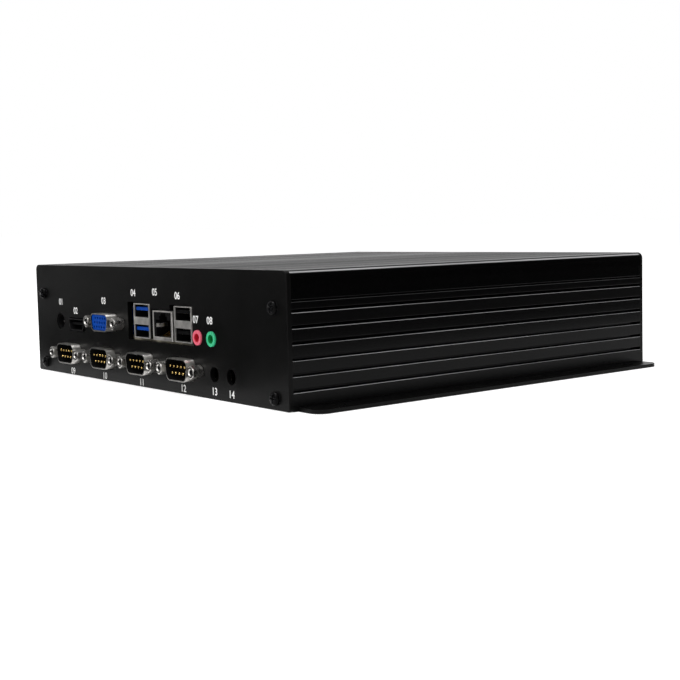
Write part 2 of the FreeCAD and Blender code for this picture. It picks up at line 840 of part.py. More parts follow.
def make_cell_and_drive():
    holder = new_body("coin_cell_holder")
    centre = (f"{BOARD_RIGHT} - cell_right", f"{BOARD_FRONT} + cell_back")
    pad_up(holder, [circle(centre, "cell_size / 2 + cell_rim")], BOARD_TOP, "cell_floor + cell_height")
    cup = [circle(centre, "cell_size / 2 + screw_slack")]
    cut_up(holder, cup, f"({BOARD_TOP} + cell_floor)", "cell_height")
    cell = new_body("coin_cell")
    pad_up(cell, [circle(centre, "cell_size / 2")], f"({BOARD_TOP} + cell_floor)", "cell_height")
    drive = new_body("storage_drive")
    slab = rectangle(("drive_x", "drive_y"), "drive_length", "drive_depth", "inner_round")
    pad_up(drive, [slab], "base_thick", "drive_height")
    cut_up(drive, [circle(place, "screw_size / 2") for place in DRIVE_SCREWS], "base_thick", "sunk_length")
    group("drive_screws", [sunk_screw(place, "sunk_length - screw_slack") for place in DRIVE_SCREWS])


def make_power_parts():
    """Chokes beside the processor, and round capacitors behind the power inlet."""
    cube = ("choke_side", "choke_side", "choke_height")
    row_x = "-block_side - choke_side"
    chokes = [block((row_x, f"{CHIP_Y} + {k} * choke_pitch", BOARD_TOP), cube) for k in (-2, -1, 0, 1)]
    group("board_chokes", chokes)
    row_y = f"{BOARD_FRONT} + standoff_front + standoff_flats + capacitor_pitch"
    feet = [(f"{DC_X} + {k} * capacitor_pitch", row_y, BOARD_TOP) for k in range(4)]
    group("board_capacitors", [rod(foot, "capacitor_size / 2", "capacitor_height", UPWARD) for foot in feet])


# Connectors on the panel


def make_power_inlet():
    """Moulded jack with a round nose in the panel's hole, and the pin down the middle of its bore."""
    jack = new_body("dc_jack")
    middle = (DC_X, f"{BOARD_TOP} + dc_body_height / 2")
    pad_back(jack, [rectangle(middle, "dc_body_width", "dc_body_height")], INNER, "dc_body_depth")
    nose = f"({FRONT} + dc_recess)"
    pad_back(jack, [circle((DC_X, DC_Z), "dc_nose / 2")], nose, "panel_thick - dc_recess")
    cut_back(jack, [circle((DC_X, DC_Z), "dc_bore / 2")], nose, "dc_bore_depth")
    pin = new_body("dc_jack_pin")
    pin_start = f"({nose} + dc_bore_depth - dc_pin_length)"
    pad_back(pin, [circle((DC_X, DC_Z), "dc_pin / 2")], pin_start, "dc_pin_length")
    tip = number(pin_start)
    round_edges(pin, "dc_pin_round", lambda edge, middle: abs(middle.y - tip) < 1e-6)


def video_outline(grow):
    """Flat-topped outline with its two lower corners cut away, grown on all sides."""
    half, rise = f"(video_width / 2 + ({grow}))", f"(video_height / 2 + ({grow}))"
    return polygon(
        [
            (f"{VIDEO_X} - {half} + video_notch", f"{VIDEO_Z} - {rise}"),
            (f"{VIDEO_X} + {half} - video_notch", f"{VIDEO_Z} - {rise}"),
            (f"{VIDEO_X} + {half}", f"{VIDEO_Z} - {rise} + 2 * video_notch"),
            (f"{VIDEO_X} + {half}", f"{VIDEO_Z} + {rise}"),
            (f"{VIDEO_X} - {half}", f"{VIDEO_Z} + {rise}"),
            (f"{VIDEO_X} - {half}", f"{VIDEO_Z} - {rise} + 2 * video_notch"),
        ]
    )


def make_digital_video():
    shell = new_body("digital_video_shell")
    pad_back(shell, [video_outline("0")], PROUD, "video_depth")
    depth = "(video_depth - 2 * video_wall)"
    cut_back(shell, [video_outline("-video_wall")], PROUD, depth)
    tongue = new_body("digital_video_tongue")
    start = f"({PROUD} + tongue_recess)"
    level = f"{VIDEO_Z} + video_tongue_thick / 2"
    bar = rectangle((VIDEO_X, level), "video_tongue_width", "video_tongue_thick")
    pad_back(tongue, [bar], start, f"{depth} - tongue_recess")


def jack_places(across, up):
    return [(f"{across} + {side} * jack_spacing / 2", up) for side in (-1, 1)]


def dee_shell(label, centre, reach, outer, inner):
    """Drawn shell of a D connector: its flange lies behind the panel and its rim stands out in front."""
    shell = new_body(label)
    plate = rectangle(centre, "dee_flange_width", "dee_flange_height", "dee_flange_round")
    holes = [circle(place, "jack_thread / 2 + screw_slack") for place in jack_places(*centre)]
    pad_back(shell, [plate] + holes, INNER, "dee_flange_thick")
    rim = f"({INNER} - {reach})"
    pad_back(shell, [outer], rim, reach)
    cut_back(shell, [inner], rim, f"{reach} + dee_flange_thick")
    return rim


def make_analog_video():
    centre = (ANALOG_X, ANALOG_Z)
    size = ("analog_width", "analog_height")
    outlines = dee(centre, *size), dee(centre, *size, "-analog_wall")
    rim = dee_shell("analog_video_shell", centre, "analog_reach", *outlines)
    insert = new_body("analog_video_insert")
    fill = dee(centre, *size, "-analog_wall - dee_slack")
    pad_back(insert, [fill], f"({rim} + analog_wall)", "analog_reach + dee_flange_thick - analog_wall")
    tall = "(analog_rise + dee_flange_height / 2)"
    rear = rectangle((ANALOG_X, f"{BOARD_TOP} + {tall} / 2"), "analog_width", tall)
    pad_back(insert, [rear], f"({INNER} + dee_flange_thick)", "analog_body_depth")
    holes = []
    for level in (-1, 0, 1):
        shift = f"{level} * analog_hole_pitch / 4"
        for k in (-2, -1, 0, 1, 2):
            across = f"{ANALOG_X} + {k} * analog_hole_pitch + {shift}"
            place = (across, f"{ANALOG_Z} + {level} * analog_row_pitch")
            holes.append(circle(place, "analog_hole / 2"))
    cut_back(insert, holes, f"({rim} + analog_wall)", "analog_hole_depth")
    group("analog_video_jackscrews", [jack_screw(*place) for place in jack_places(*centre)])


def make_port_stack(colour, across):
    """Two flat ports one above the other in one folded shell, with a tongue high in each mouth."""
    shell = new_body(f"{colour}_port_shell")
    outline = rectangle((across, STACK_Z), "stack_width", "stack_height", "stack_wall")
    pad_back(shell, [outline], PROUD, "stack_depth")
    lower = f"({BOARD_TOP} + stack_wall)"
    upper = f"({BOARD_TOP} + stack_height - stack_wall - stack_mouth)"
    mouths = [
        rectangle((across, f"{floor} + stack_mouth / 2"), "stack_width - 2 * stack_wall", "stack_mouth")
        for floor in (lower, upper)
    ]
    cut_back(shell, mouths, PROUD, "stack_mouth_depth")
    tongue = ("tongue_width", "stack_mouth_depth - tongue_recess", "tongue_thick")
    corner = (f"{across} - tongue_width / 2", f"{PROUD} + tongue_recess")
    drop = "stack_mouth - tongue_gap - tongue_thick"
    tongues = [block((*corner, f"{floor} + {drop}"), tongue) for floor in (lower, upper)]
    group(f"{colour}_port_tongues", tongues)


def network_mouth():
    """Mouth of the network jack, with the stepped slot of the plug's latch above it."""
    low = f"({BOARD_TOP} + network_mouth_rise)"
    sill, step = f"({low} + network_mouth_height)", f"({low} + network_mouth_height + latch_height)"
    tip = f"({step} + latch_tip_height)"
    right = [
        ("network_mouth / 2", low),
        ("network_mouth / 2", sill),
        ("latch_width / 2", sill),
        ("latch_width / 2", step),
        ("latch_tip_width / 2", step),
        ("latch_tip_width / 2", tip),
    ]
    left = [(f"-{across}", up) for across, up in reversed(right)]
    return polygon([(f"{NETWORK_X} + {across}", up) for across, up in right + left])


def network_window():
    """Opening in the front of the network jack's shield, which leaves only a narrow frame."""
    left = f"({NETWORK_X} - network_width / 2 + window_left)"
    right = f"({NETWORK_X} + network_width / 2 - window_right)"
    low, high = f"({BOARD_TOP} + window_low)", f"({BOARD_TOP} + network_height - window_top)"
    middle = (f"({left} + {right}) / 2", f"({low} + {high}) / 2")
    return rectangle(middle, f"{right} - {left}", f"{high} - {low}")


def make_network_jack():
    """Folded shield, and the moulded insert in it with the plug's mouth and contacts."""
    shield = new_body("network_jack_shield")
    middle = (NETWORK_X, f"{BOARD_TOP} + network_height / 2")
    pad_back(shield, [rectangle(middle, "network_width", "network_height")], PROUD, "network_depth")
    inside = f"({PROUD} + network_wall)"
    room = ("network_width - 2 * network_wall", "network_height - 2 * network_wall")
    cut_back(shield, [rectangle(middle, *room)], inside, "network_depth - network_wall")
    cut_back(shield, [network_window()], PROUD, "network_wall")
    insert = new_body("network_jack_insert")
    pad_back(insert, [rectangle(middle, *room)], inside, "network_depth - network_wall")
    cut_back(insert, [network_mouth()], inside, "network_mouth_depth")
    bar = ("contact_thick", "contact_length", "contact_thick")
    start = (f"{inside} + contact_recess", f"{BOARD_TOP} + network_mouth_rise")
    lefts = [f"{NETWORK_X} + {(2 * k - 7) / 2} * contact_pitch - contact_thick / 2" for k in range(8)]
    group("network_jack_contacts", [block((left, *start), bar) for left in lefts])


def make_audio_jack(label, across):
    """Moulded jack with a round nose through the panel and a plain bore for the plug."""
    jack = new_body(label)
    middle = (across, f"{BOARD_TOP} + audio_body_height / 2")
    pad_back(jack, [rectangle(middle, "audio_body_width", "audio_body_height")], INNER, "audio_body_depth")
    nose = f"({FRONT} - audio_proud)"
    pad_back(jack, [circle((across, AUDIO_Z), "audio_nose / 2")], nose, "audio_proud + panel_thick")
    cut_back(jack, [circle((across, AUDIO_Z), "audio_bore / 2")], nose, "audio_bore_depth")


def make_serial_ports():
    face = f"({FRONT} + serial_face)"
    rear = f"({INNER} + serial_body_depth)"
    pins = []
    jacks = []
    for port, across in enumerate(SERIAL_X, start=1):
        centre = (across, "serial_rise")
        outer = dee(centre, "serial_width", "serial_height", "serial_wall")
        inner = dee(centre, "serial_width", "serial_height")
        dee_shell(f"serial_shell_{port}", centre, "serial_reach", outer, inner)
        insert = new_body(f"serial_insert_{port}")
        filling = dee(centre, "serial_width", "serial_height", "-dee_slack")
        pad_back(insert, [filling], face, f"{rear} - {face}")
        for row, count in ((1, 5), (-1, 4)):
            for k in range(count):
                spot = (
                    f"{across} + ({k} - {(count - 1) / 2}) * pin_pitch",
                    f"{face} - pin_length",
                    f"serial_rise + {row} * pin_row_pitch / 2",
                )
                pins.append(rod(spot, "pin_size / 2", "pin_length", BACKWARD))
        jacks += [jack_screw(*place) for place in jack_places(*centre)]
    group("serial_pins", pins)
    group("serial_jackscrews", jacks)
    board = new_body("serial_board")
    left, right = f"({SERIAL_X[0]} - serial_board_end)", f"({SERIAL_X[-1]} + serial_board_end)"
    middle = (f"({left} + {right}) / 2", "serial_board_low + serial_board_height / 2")
    pad_back(board, [rectangle(middle, f"{right} - {left}", "serial_board_height")], rear, "board_thick")
    link = new_body("serial_link")
    drop = rectangle(("0", f"{BOARD_FLOOR} - link_drop / 2"), "link_width", "link_drop")
    pad_back(link, [drop], f"({rear} + board_thick)", "link_depth")


# Power switch and lamps on the hidden panel


def make_power_switch():
    """Threaded bushing held by a nut, a sprung round button sliding in it, and the contact body behind."""
    centre = (BUTTON_X, "button_rise")
    bushing = new_body("switch_bushing")
    rear = f"({BACK} - bushing_length)"
    pad_back(bushing, [circle(centre, "bushing_size / 2")], rear, "bushing_length")
    pad_back(bushing, [circle(centre, "bushing_flange / 2")], BACK, "bushing_flange_thick")
    rim = number(f"{BACK} + bushing_flange_thick")
    round_edges(bushing, "bushing_flange_round", lambda edge, middle: abs(middle.y - rim) < 1e-6)
    floor = f"({rear} + bushing_floor)"
    cut_back(bushing, [circle(centre, "button_size / 2")], floor, f"{BACK} + bushing_flange_thick - {floor}")
    cut_back(bushing, [circle(centre, "stem_size / 2 + stem_slack")], rear, "bushing_floor")
    nut_start = f"({BACK_INNER} - nut_thick)"
    nut = hexagon((BUTTON_X, nut_start, "button_rise"), "nut_flats", "nut_thick", BACKWARD)
    hole = rod((BUTTON_X, nut_start, "button_rise"), "bushing_size / 2 + nut_slack", "nut_thick", BACKWARD)
    keep(without(nut, hole), "switch_nut")
    switch = new_body("switch_body")
    pad_back(switch, [circle(centre, "switch_size / 2")], f"({rear} - switch_length)", "switch_length")
    recess = [circle(centre, "collar_size / 2 + collar_slack")]
    cut_back(switch, recess, f"({rear} - switch_recess)", "switch_recess")
    button = new_body("power_button")
    cap_front = f"({BACK} + button_proud)"
    cap_rear = f"({cap_front} - button_skirt)"
    pad_back(button, [circle(centre, "button_size / 2 - button_slack")], cap_rear, "button_skirt")
    crown = number(cap_front)
    round_edges(button, "button_round", lambda edge, middle: abs(middle.y - crown) < 1e-6)
    stem_end = f"({rear} - collar_gap)"
    pad_back(button, [circle(centre, "stem_size / 2")], stem_end, f"{cap_rear} - {stem_end}")
    collar = f"({stem_end} - collar_thick)"
    pad_back(button, [circle(centre, "collar_size / 2")], collar, "collar_thick")
    make_return_spring(floor, f"({cap_rear} - {floor})")


def make_return_spring(floor, room):
    """Coil round the button's stem, between the bushing's floor and the underside of the cap."""
    spring = new_body("return_spring")
    put(spring, (BUTTON_X, f"{floor} + spring_wire / 2 + spring_end_gap", "button_rise"))
    section = circle(("(spring_size + spring_wire) / 2", "0"), "spring_wire / 2")
    wire = sketch_on(spring, "XY_Plane", "0", [section])
    doc.recompute()
    coil = spring.newObject("PartDesign::AdditiveHelix", "coil")
    coil.Profile = wire
    coil.ReferenceAxis = (wire, ["V_Axis"])
    coil.Mode = "height-turns-angle"
    bind(coil, "Height", f"{room} - spring_wire - 2 * spring_end_gap")
    bind(coil, "Turns", "spring_turns")


def make_lamps():
    """Two lamps, each with its foot behind a collar that holds it in the panel."""
    foot = f"({BACK_INNER} - holder_length)"
    crown = f"({BACK} + lamp_proud)"
    collars = []
    for label, across in zip(("power_lamp", "drive_lamp"), LAMP_X):
        centre = (across, "button_rise")
        lamp = new_body(label)
        pad_back(lamp, [circle(centre, "lamp_size / 2")], foot, f"{crown} - {foot}")
        dome = number(crown)
        round_edges(lamp, "lamp_round", lambda edge, middle: abs(middle.y - dome) < 1e-6)
        pad_back(lamp, [circle(centre, "lamp_foot / 2")], f"({foot} - lamp_foot_thick)", "lamp_foot_thick")
        spot = (across, foot, "button_rise")
        sleeve = rod(spot, "holder_size / 2", "holder_length", BACKWARD)
        collars.append(without(sleeve, rod(spot, "lamp_size / 2 + lamp_slack", "holder_length", BACKWARD)))
    group("lamp_holders", collars)


def write_steps():
    """Writes each sub-part to its own file, once the whole document is sound."""
    doc.recompute()
    for item in doc.Objects:
        if {"Invalid", "Error"} & set(item.State):
            raise RuntimeError(f"{item.Label} failed: {item.State}")
    for item in nodes:
        if item.Shape.isNull() or not item.Shape.isValid():
            raise RuntimeError(f"{item.Label} has no valid shape")
    os.makedirs("parts", exist_ok=True)
    for item in nodes:
        item.Shape.exportStep(f"parts/{item.Label}.step")


make_top_housing()
make_base_plate()
make_io_panel()
make_front_panel()
make_case_screws()
make_mainboard()
make_standoffs()
make_heat_path()
make_memory()
make_cell_and_drive()
make_power_parts()
make_power_inlet()
make_digital_video()
make_analog_video()
make_port_stack("blue", BLUE_X)
make_network_jack()
make_port_stack("black", BLACK_X)
make_audio_jack("microphone_jack", MICROPHONE_X)
make_audio_jack("speaker_jack", SPEAKER_X)
make_serial_ports()
make_power_switch()
make_lamps()
write_steps()
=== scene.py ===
"""Looks of a fanless counter computer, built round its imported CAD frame."""

import math

import bmesh
import bpy
from bpy.props import FloatProperty, FloatVectorProperty, PointerProperty
from bpy.types import Operator, Panel, PropertyGroup
from mathutils import Matrix, Vector


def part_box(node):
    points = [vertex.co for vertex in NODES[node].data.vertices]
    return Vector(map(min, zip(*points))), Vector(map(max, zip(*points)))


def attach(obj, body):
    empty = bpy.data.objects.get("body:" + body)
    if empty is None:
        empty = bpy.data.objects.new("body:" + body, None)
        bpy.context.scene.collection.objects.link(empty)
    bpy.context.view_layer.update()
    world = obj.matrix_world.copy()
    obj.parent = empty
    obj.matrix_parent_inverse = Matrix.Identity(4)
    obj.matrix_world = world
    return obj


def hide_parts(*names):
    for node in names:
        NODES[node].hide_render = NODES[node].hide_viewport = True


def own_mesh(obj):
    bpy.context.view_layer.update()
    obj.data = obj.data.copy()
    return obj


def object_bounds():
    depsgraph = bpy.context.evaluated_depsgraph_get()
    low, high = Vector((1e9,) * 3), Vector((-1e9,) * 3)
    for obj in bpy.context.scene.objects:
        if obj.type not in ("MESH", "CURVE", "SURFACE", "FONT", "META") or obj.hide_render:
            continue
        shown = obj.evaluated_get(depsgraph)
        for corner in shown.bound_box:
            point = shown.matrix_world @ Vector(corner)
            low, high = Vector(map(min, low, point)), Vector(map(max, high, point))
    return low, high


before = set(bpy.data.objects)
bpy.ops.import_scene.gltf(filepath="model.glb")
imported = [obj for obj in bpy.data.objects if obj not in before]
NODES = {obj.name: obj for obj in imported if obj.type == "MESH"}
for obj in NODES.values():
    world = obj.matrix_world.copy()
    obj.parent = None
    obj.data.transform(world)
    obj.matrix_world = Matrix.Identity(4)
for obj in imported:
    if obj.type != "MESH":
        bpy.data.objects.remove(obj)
CAD_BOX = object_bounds()

bl_info = {
    "name": "Counter Computer",
    "version": (1, 0, 0),
    "blender": (4, 5, 0),
    "location": "View3D > Sidebar > Counter Computer",
    "description": "Finishes and small fittings of a fanless counter computer",
    "category": "Object",
}

MM = 0.001
X_AXIS, Y_AXIS, Z_AXIS = Matrix.Identity(3)
OUT_OF_PORTS, OUT_OF_FRONT, OUT_OF_BASE = (
    Matrix.Rotation(math.radians(degrees), 4, "X") for degrees in (90, -90, 180)
)
PORT_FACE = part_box("io_panel")[0].y
FRONT_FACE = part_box("front_panel")[1].y
SERIAL_PORTS = range(1, 5)
WHITE = (1.0, 1.0, 1.0, 1.0)

# Case screws: a pan head's rim is in shares of its radius and height
PAN_SHANK, SUNK_SHANK = 1.4 * MM, 1.45 * MM
PAN_RIM, PAN_CROWN = ((1.0, 0.0), (1.0, 0.45), (0.93, 0.72), (0.74, 0.96)), 1.06
FIRST_TURN, NEXT_TURN = 0.4, 0.55
RECESS_MOUTH, RECESS_BOTTOM = 1.6, 0.55

# Jack screws: the crest, flare and chamfer are shares of the bore or the flats
JACK_TAIL, JACK_BORE, BORE_DEPTH, BORE_FLARE = 1.4 * MM, 1.35 * MM, 3.5 * MM, 1.12
THREAD_PITCH, THREAD_START, THREAD_CREST = 0.6 * MM, 0.35 * MM, 0.84
CHAMFER_START, CHAMFER_FALL = 0.47, 0.6

# Side lines of bent strips in millimetres: in from the mouth, and off what carries the strip
PORT_CONTACT = ((0.6, 0.0), (1.1, 0.22), (2.4, 0.32), (5.0, 0.12), (8.0, 0.04))
JACK_WIRE = (
    (0.0, 0.0), (0.5, 0.1), (1.4, 0.5), (3.2, 1.5), (3.8, 1.6), (4.6, 1.3), (7.0, 0.3), (9.0, 0.0),
)
SHIELD_FINGER = ((0.6, 0.0), (1.4, 0.15), (3.6, 0.65), (4.2, 0.75), (4.9, 0.6), (6.0, 0.1))
CONTACT_PITCH, CONTACT_WIDTH, CONTACT_THICK = 2.3 * MM, 0.9 * MM, 0.12 * MM
FINGER_REACH, FINGER_WIDTH, FINGER_THICK = 5.85 * MM, 1.6 * MM, 0.2 * MM
SPRING_WIRE, SPRING_TURNS = 0.6 * MM, 5
PIN_ROUND = 0.65

# Middles of the printed numbers in millimetres: across the panel, and up from the base
PRINT_PLACES = (
    (-78.5, 34.3), (-63.4, 30.6), (-35.3, 36.2), (-7.9, 40.6), (10.6, 41.4), (28.8, 40.4),
    (42.5, 31.2), (52.9, 31.2), (-68.2, 1.8), (-36.6, 2.0), (-2.8, 1.9), (31.5, 2.3),
    (55.1, 3.1), (67.2, 3.0),
)
FONT_SIZE = 1.4

# Painted highlights on the lips: where the ribs give way to the shoulder, the tilts of each lip,
# and the heights of the shallow grooves with the share of the painted highlight that they keep
SHOULDER_HEIGHTS = (47.0 * MM, 49.0 * MM)
RIB_TILTS, SHOULDER_TILTS = (0.36, 0.93), (0.53, 0.81)
TILT_FADE_IN, TILT_FADE_OUT = 0.12, 0.07
CREST_RISE, CREST_FALL = (0.984, 0.991), (0.99995, 0.9993)
SHALLOW_LOW, SHALLOW_HIGH, SHALLOW_SHARE = 40.0 * MM, 47.0 * MM, 0.15

# Other finishes: stretch of noise along the case, grain, edge wear with a painted highlight, dust,
# and painted shade in socket mouths
ALONG_DIE, ALONG_LIP = (1.0, 0.004, 1.0), (1.0, 0.12, 1.0)
METAL_GRAIN = {"scale": 900.0, "patch_scale": 350.0}
MOULDED_GRAIN, MOULDED_SKIN = 1200.0, 0.01 * MM
WORN_AND_LIT_EDGE = 0.25 * MM
DUST, DUST_SHARE, DUST_DULLING = (0.4, 0.39, 0.37, 1.0), 0.004, 0.12
# Painted shade for the inside of socket mouths, and bare glass fibre of board edges
MOUTH_SHADE, GLASS_FIBRE = (0.004, 0.004, 0.004, 1.0), (0.34, 0.31, 0.24, 1.0)

# Three corners of each dark card
CARDS = {
    "card_right": ((0.18, -0.11, 0.012), (0.18, 0.45, 0.012), (0.18, 0.45, 0.35)),
    "card_left": ((-0.30, -0.84, 0.0), (-0.80, -0.22, 0.0), (-0.80, -0.22, 0.4)),
    "card_flat": ((-0.46, -0.50, 0.001), (0.05, -0.50, 0.001), (0.05, -0.12, 0.001)),
}
# Softboxes: the setting that holds the power, size, place, and whether matt surfaces see it
SOFTBOXES = {
    "overhead_softbox": ("key_power", 1.0, (0.15, -0.2, 1.1), True),
    "front_softbox": ("front_power", 0.6, (0.1, -1.0, 0.7), True),
    "side_softbox": ("side_power", 0.4, (-1.1, -0.5, 0.3), True),
    "glint_softbox": ("glint_power", 0.15, (0.0, -0.3, 0.7), False),
}
FLOOR_HALF, FLOOR_DROP, FLOOR_GLOW = 30.0, 0.2 * MM, 0.6


# Settings that a user would change


def tint(name, description, colour):
    return FloatVectorProperty(
        name=name, description=description, subtype="COLOR", size=3, min=0.0, max=1.0,
        default=colour,
    )


def number(name, description, value, **kind):
    return FloatProperty(name=name, description=description, default=value, **kind)


def length(name, description, metres):
    kind = {"subtype": "DISTANCE", "unit": "LENGTH", "min": 0.0, "precision": 5}
    return number(name, description, metres, **kind)


def turning(name, description, degrees):
    return number(name, description, math.radians(degrees), subtype="ANGLE")


def pixels(name, description, count):
    return number(name, description, count, subtype="PIXEL")


def watts(name, description, power):
    return number(name, description, power, unit="POWER")


class CaseColours(PropertyGroup):
    """Colours of the case and of what is on its panels."""

    anodised: tint("Anodised Case", "Black of the ribbed extrusion", (0.0010, 0.0010, 0.0011))
    # Colour of the highlight painted on the ribs' upper lips and the shoulder, where overhead light
    # would catch them
    painted_lip_highlight: tint("Lip Highlight Colour", "Upper lips of the case's ribs", (0.52, 0.52, 0.53))
    powder_coat: tint("Powder Coat", "Black of the panels and base", (0.0028, 0.0028, 0.0028))
    screw_black: tint("Screws", "Black of the oxidised screws", (0.0014, 0.0014, 0.0015))
    nickel: tint("Nickel Plate", "D ports and jack screws", (0.56, 0.545, 0.52))
    port_frame: tint("Port Frames", "Stacked ports and network jack", (0.76, 0.74, 0.71))
    # Near-black metal of the digital video frame, also used as painted shade in the jack screws'
    # bores
    dark_nickel: tint("Dark Frame And Bore Shade", "Frame of the digital video port", (0.022, 0.022, 0.023))
    gold: tint("Gold", "Contacts and pins", (0.66, 0.46, 0.16))
    moulding: tint("Black Mouldings", "Insulators and sockets", (0.0030, 0.0030, 0.0032))
    blue: tint("Blue Mouldings", "Video insert and fast port tongues", (0.002, 0.045, 0.28))
    pink: tint("Microphone Ring", "Pink jack", (0.74, 0.12, 0.18))
    green: tint("Speaker Ring", "Green jack", (0.04, 0.50, 0.24))
    print_white: tint("Print", "Screen print beside the sockets", (0.80, 0.80, 0.79))
    board: tint("Circuit Board", "Solder resist", (0.008, 0.060, 0.032))


class PrintSizes(PropertyGroup):
    """Sizes of the printed numbers."""

    digit_height: length("Digit Height", "Height of a printed number", 3.0 * MM)
    ink: length("Ink", "Thickness of the print", 0.03 * MM)
    boldness: length("Boldness", "How far each stroke is spread", 0.05 * MM)


class StudioSettings(PropertyGroup):
    """Camera and light of the studio."""

    camera_place: FloatVectorProperty(
        name="Camera", description="Where the camera stands", subtype="XYZ", unit="LENGTH", size=3,
        default=(0.46076, -0.36338, 0.067434),
    )
    camera_yaw: turning("Yaw", "Turn of the view from straight at the panel", 51.7834)
    camera_pitch: turning("Pitch", "How far the camera looks down", 4.2943)
    camera_roll: turning("Roll", "Lean of the camera", -1.3633)
    focal_pixels: pixels("Focal Length", "Focal length in pixels of the picture", 1218.34)
    picture_pixels: pixels("Picture", "Side of the square picture", 680.0)
    centre_x: pixels("Centre X", "Pixel column that the lens points at", 329.93)
    centre_y: pixels("Centre Y", "Pixel row that the lens points at", 318.0)
    floor_tone: number("Floor", "Tone of the floor", 0.8, subtype="FACTOR", min=0.0, max=1.0)
    room_tone: number("Room", "Strength of the room's even light", 0.5, min=0.0)
    key_power: watts("Key Light", "Power of the overhead softbox", 9.0)
    front_power: watts("Front Light", "Power of the front softbox", 4.0)
    side_power: watts("Side Light", "Power of the left softbox", 1.0)
    glint_power: watts("Glint", "Power of the softbox that only gloss sees", 2.5)


class CounterComputer(PropertyGroup):
    """All settings of the counter computer."""

    colours: PointerProperty(type=CaseColours)
    print_sizes: PointerProperty(type=PrintSizes)
    studio: PointerProperty(type=StudioSettings)


def settings_of(context):
    """The settings that the scene holds."""
    return context.scene.counter_computer


# Shader nodes

# Sockets of a Mix node that mixes colours
MIX_SHARE, MIX_FIRST, MIX_SECOND, MIX_RESULT = 0, 6, 7, 2


def labelled(values):
    """Values by the labels of the sockets that their keywords stand for."""
    return {
        keyword.replace("_", " ").title().replace("Ior", "IOR"): value
        for keyword, value in values.items()
    }


def rgba(colour, factor=1.0):
    """A colour times a factor, with full alpha."""
    return (*(min(1.0, channel * factor) for channel in colour), 1.0)


class Recipe:
    """A node tree with short ways to add its nodes."""

    def __init__(self, tree):
        self.tree = tree

    def feed(self, inputs, values):
        """Links each input that is given a socket, and sets the others."""
        for name, value in values.items():
            if isinstance(value, bpy.types.NodeSocket):
                self.tree.links.new(value, inputs[name])
            else:
                inputs[name].default_value = value

    def add(self, kind, inputs=None, **settings):
        """Adds a node and returns its outputs."""
        made = self.tree.nodes.new(f"ShaderNode{kind}")
        for name, value in settings.items():
            setattr(made, name, value)
        self.feed(made.inputs, inputs or {})
        return made.outputs

    def maths(self, operation, *values, clamp=False):
        inputs = dict(enumerate(values))
        return self.add("Math", inputs, operation=operation, use_clamp=clamp)[0]

    def times(self, first, second):
        return self.maths("MULTIPLY", first, second)

    def spread(self, value, low, high, new_low=0.0, new_high=1.0):
        """Maps a value's range onto another, and holds it there."""
        ranges = {"From Min": low, "From Max": high, "To Min": new_low, "To Max": new_high}
        return self.add("MapRange", {"Value": value, **ranges}, clamp=True)["Result"]

    def between(self, share, start, end):
        """Goes from start to end as a share goes from 0 to 1."""
        return self.spread(share, 0.0, 1.0, start, end)

    def mix(self, share, first, second):
        """Goes from one colour to another as a share goes from 0 to 1."""
        inputs = {MIX_SHARE: share, MIX_FIRST: first, MIX_SECOND: second}
        return self.add("Mix", inputs, data_type="RGBA")[MIX_RESULT]

    def uneven(self, share, colour, dark, bright):
        """Goes from a darker to a brighter shade of a colour as a share goes from 0 to 1."""
        return self.mix(share, rgba(colour, dark), rgba(colour, bright))

    def place(self, stretch=(1.0, 1.0, 1.0)):
        """Coordinates in the frame, stretched along its axes."""
        inputs = {"Vector": self.add("TexCoord")["Object"], "Scale": stretch}
        return self.add("Mapping", inputs)["Vector"]

    def position(self):
        """X, Y and Z of a point in the frame."""
        return self.add("SeparateXYZ", {0: self.place()})

    def facing(self):
        """X, Y and Z of the way that a surface faces."""
        return self.add("SeparateXYZ", {0: self.add("NewGeometry")["Normal"]})

    def noise(self, place, scale, detail=3.0, roughness=0.5):
        inputs = {"Vector": place, "Scale": scale, "Detail": detail, "Roughness": roughness}
        return self.add("TexNoise", inputs)["Fac"]

    def effect(self, name, **values):
        """Places a shared effect, made on its first use."""
        group = bpy.data.node_groups.get(name) or new_group(name)
        return self.add("Group", labelled(values), node_tree=group)


class Finish(Recipe):
    """A new material with a Principled shader."""

    def __init__(self, name, **constants):
        self.material = bpy.data.materials.new(name)
        self.material.use_nodes = True
        super().__init__(self.material.node_tree)
        self.cover(**constants)

    def cover(self, **values):
        """Feeds the shader, and returns the material."""
        self.feed(self.tree.nodes["Principled BSDF"].inputs, labelled(values))
        return self.material

    def raised(self, height, distance, strength=1.0):
        """Way that the surface faces once a height raises it."""
        inputs = {"Height": height, "Distance": distance, "Strength": strength}
        return self.add("Bump", inputs)["Normal"]


# Shared effects, each of which returns its outputs


def fine_grain(tree, given):
    """Pebbled skin of powder coat and moulded plastic, with larger patches of uneven gloss."""
    place = tree.place()
    patches = tree.noise(place, given["Patch Scale"], detail=4.0)
    pebbles = tree.noise(place, given["Scale"], detail=2.0)
    return {"Height": pebbles, "Patches": tree.spread(patches, 0.3, 0.7)}


def die_lines(tree, given):
    """Faint lines that the extrusion die leaves along the case, and broad streaks of gloss."""
    place = tree.place(ALONG_DIE)
    lines = tree.noise(place, given["Scale"], roughness=0.7)
    broad = tree.noise(place, tree.times(given["Scale"], 0.06), detail=2.0)
    return {"Height": lines, "Streaks": tree.spread(broad, 0.35, 0.65)}


def edge_wear_and_highlight(tree, given):
    """Mask that is bright along edges, broken up by noise, for wear and a painted highlight."""
    soft = tree.add("Bevel", {"Radius": given["Radius"]}, samples=4)["Normal"]
    sharp = tree.add("NewGeometry")["Normal"]
    alike = tree.add("VectorMath", {0: soft, 1: sharp}, operation="DOT_PRODUCT")["Value"]
    patches = tree.spread(tree.noise(tree.place(), given["Break Up"]), 0.35, 0.65, 0.2, 1.0)
    return {"Mask": tree.times(tree.spread(alike, 0.98, 0.85), patches)}


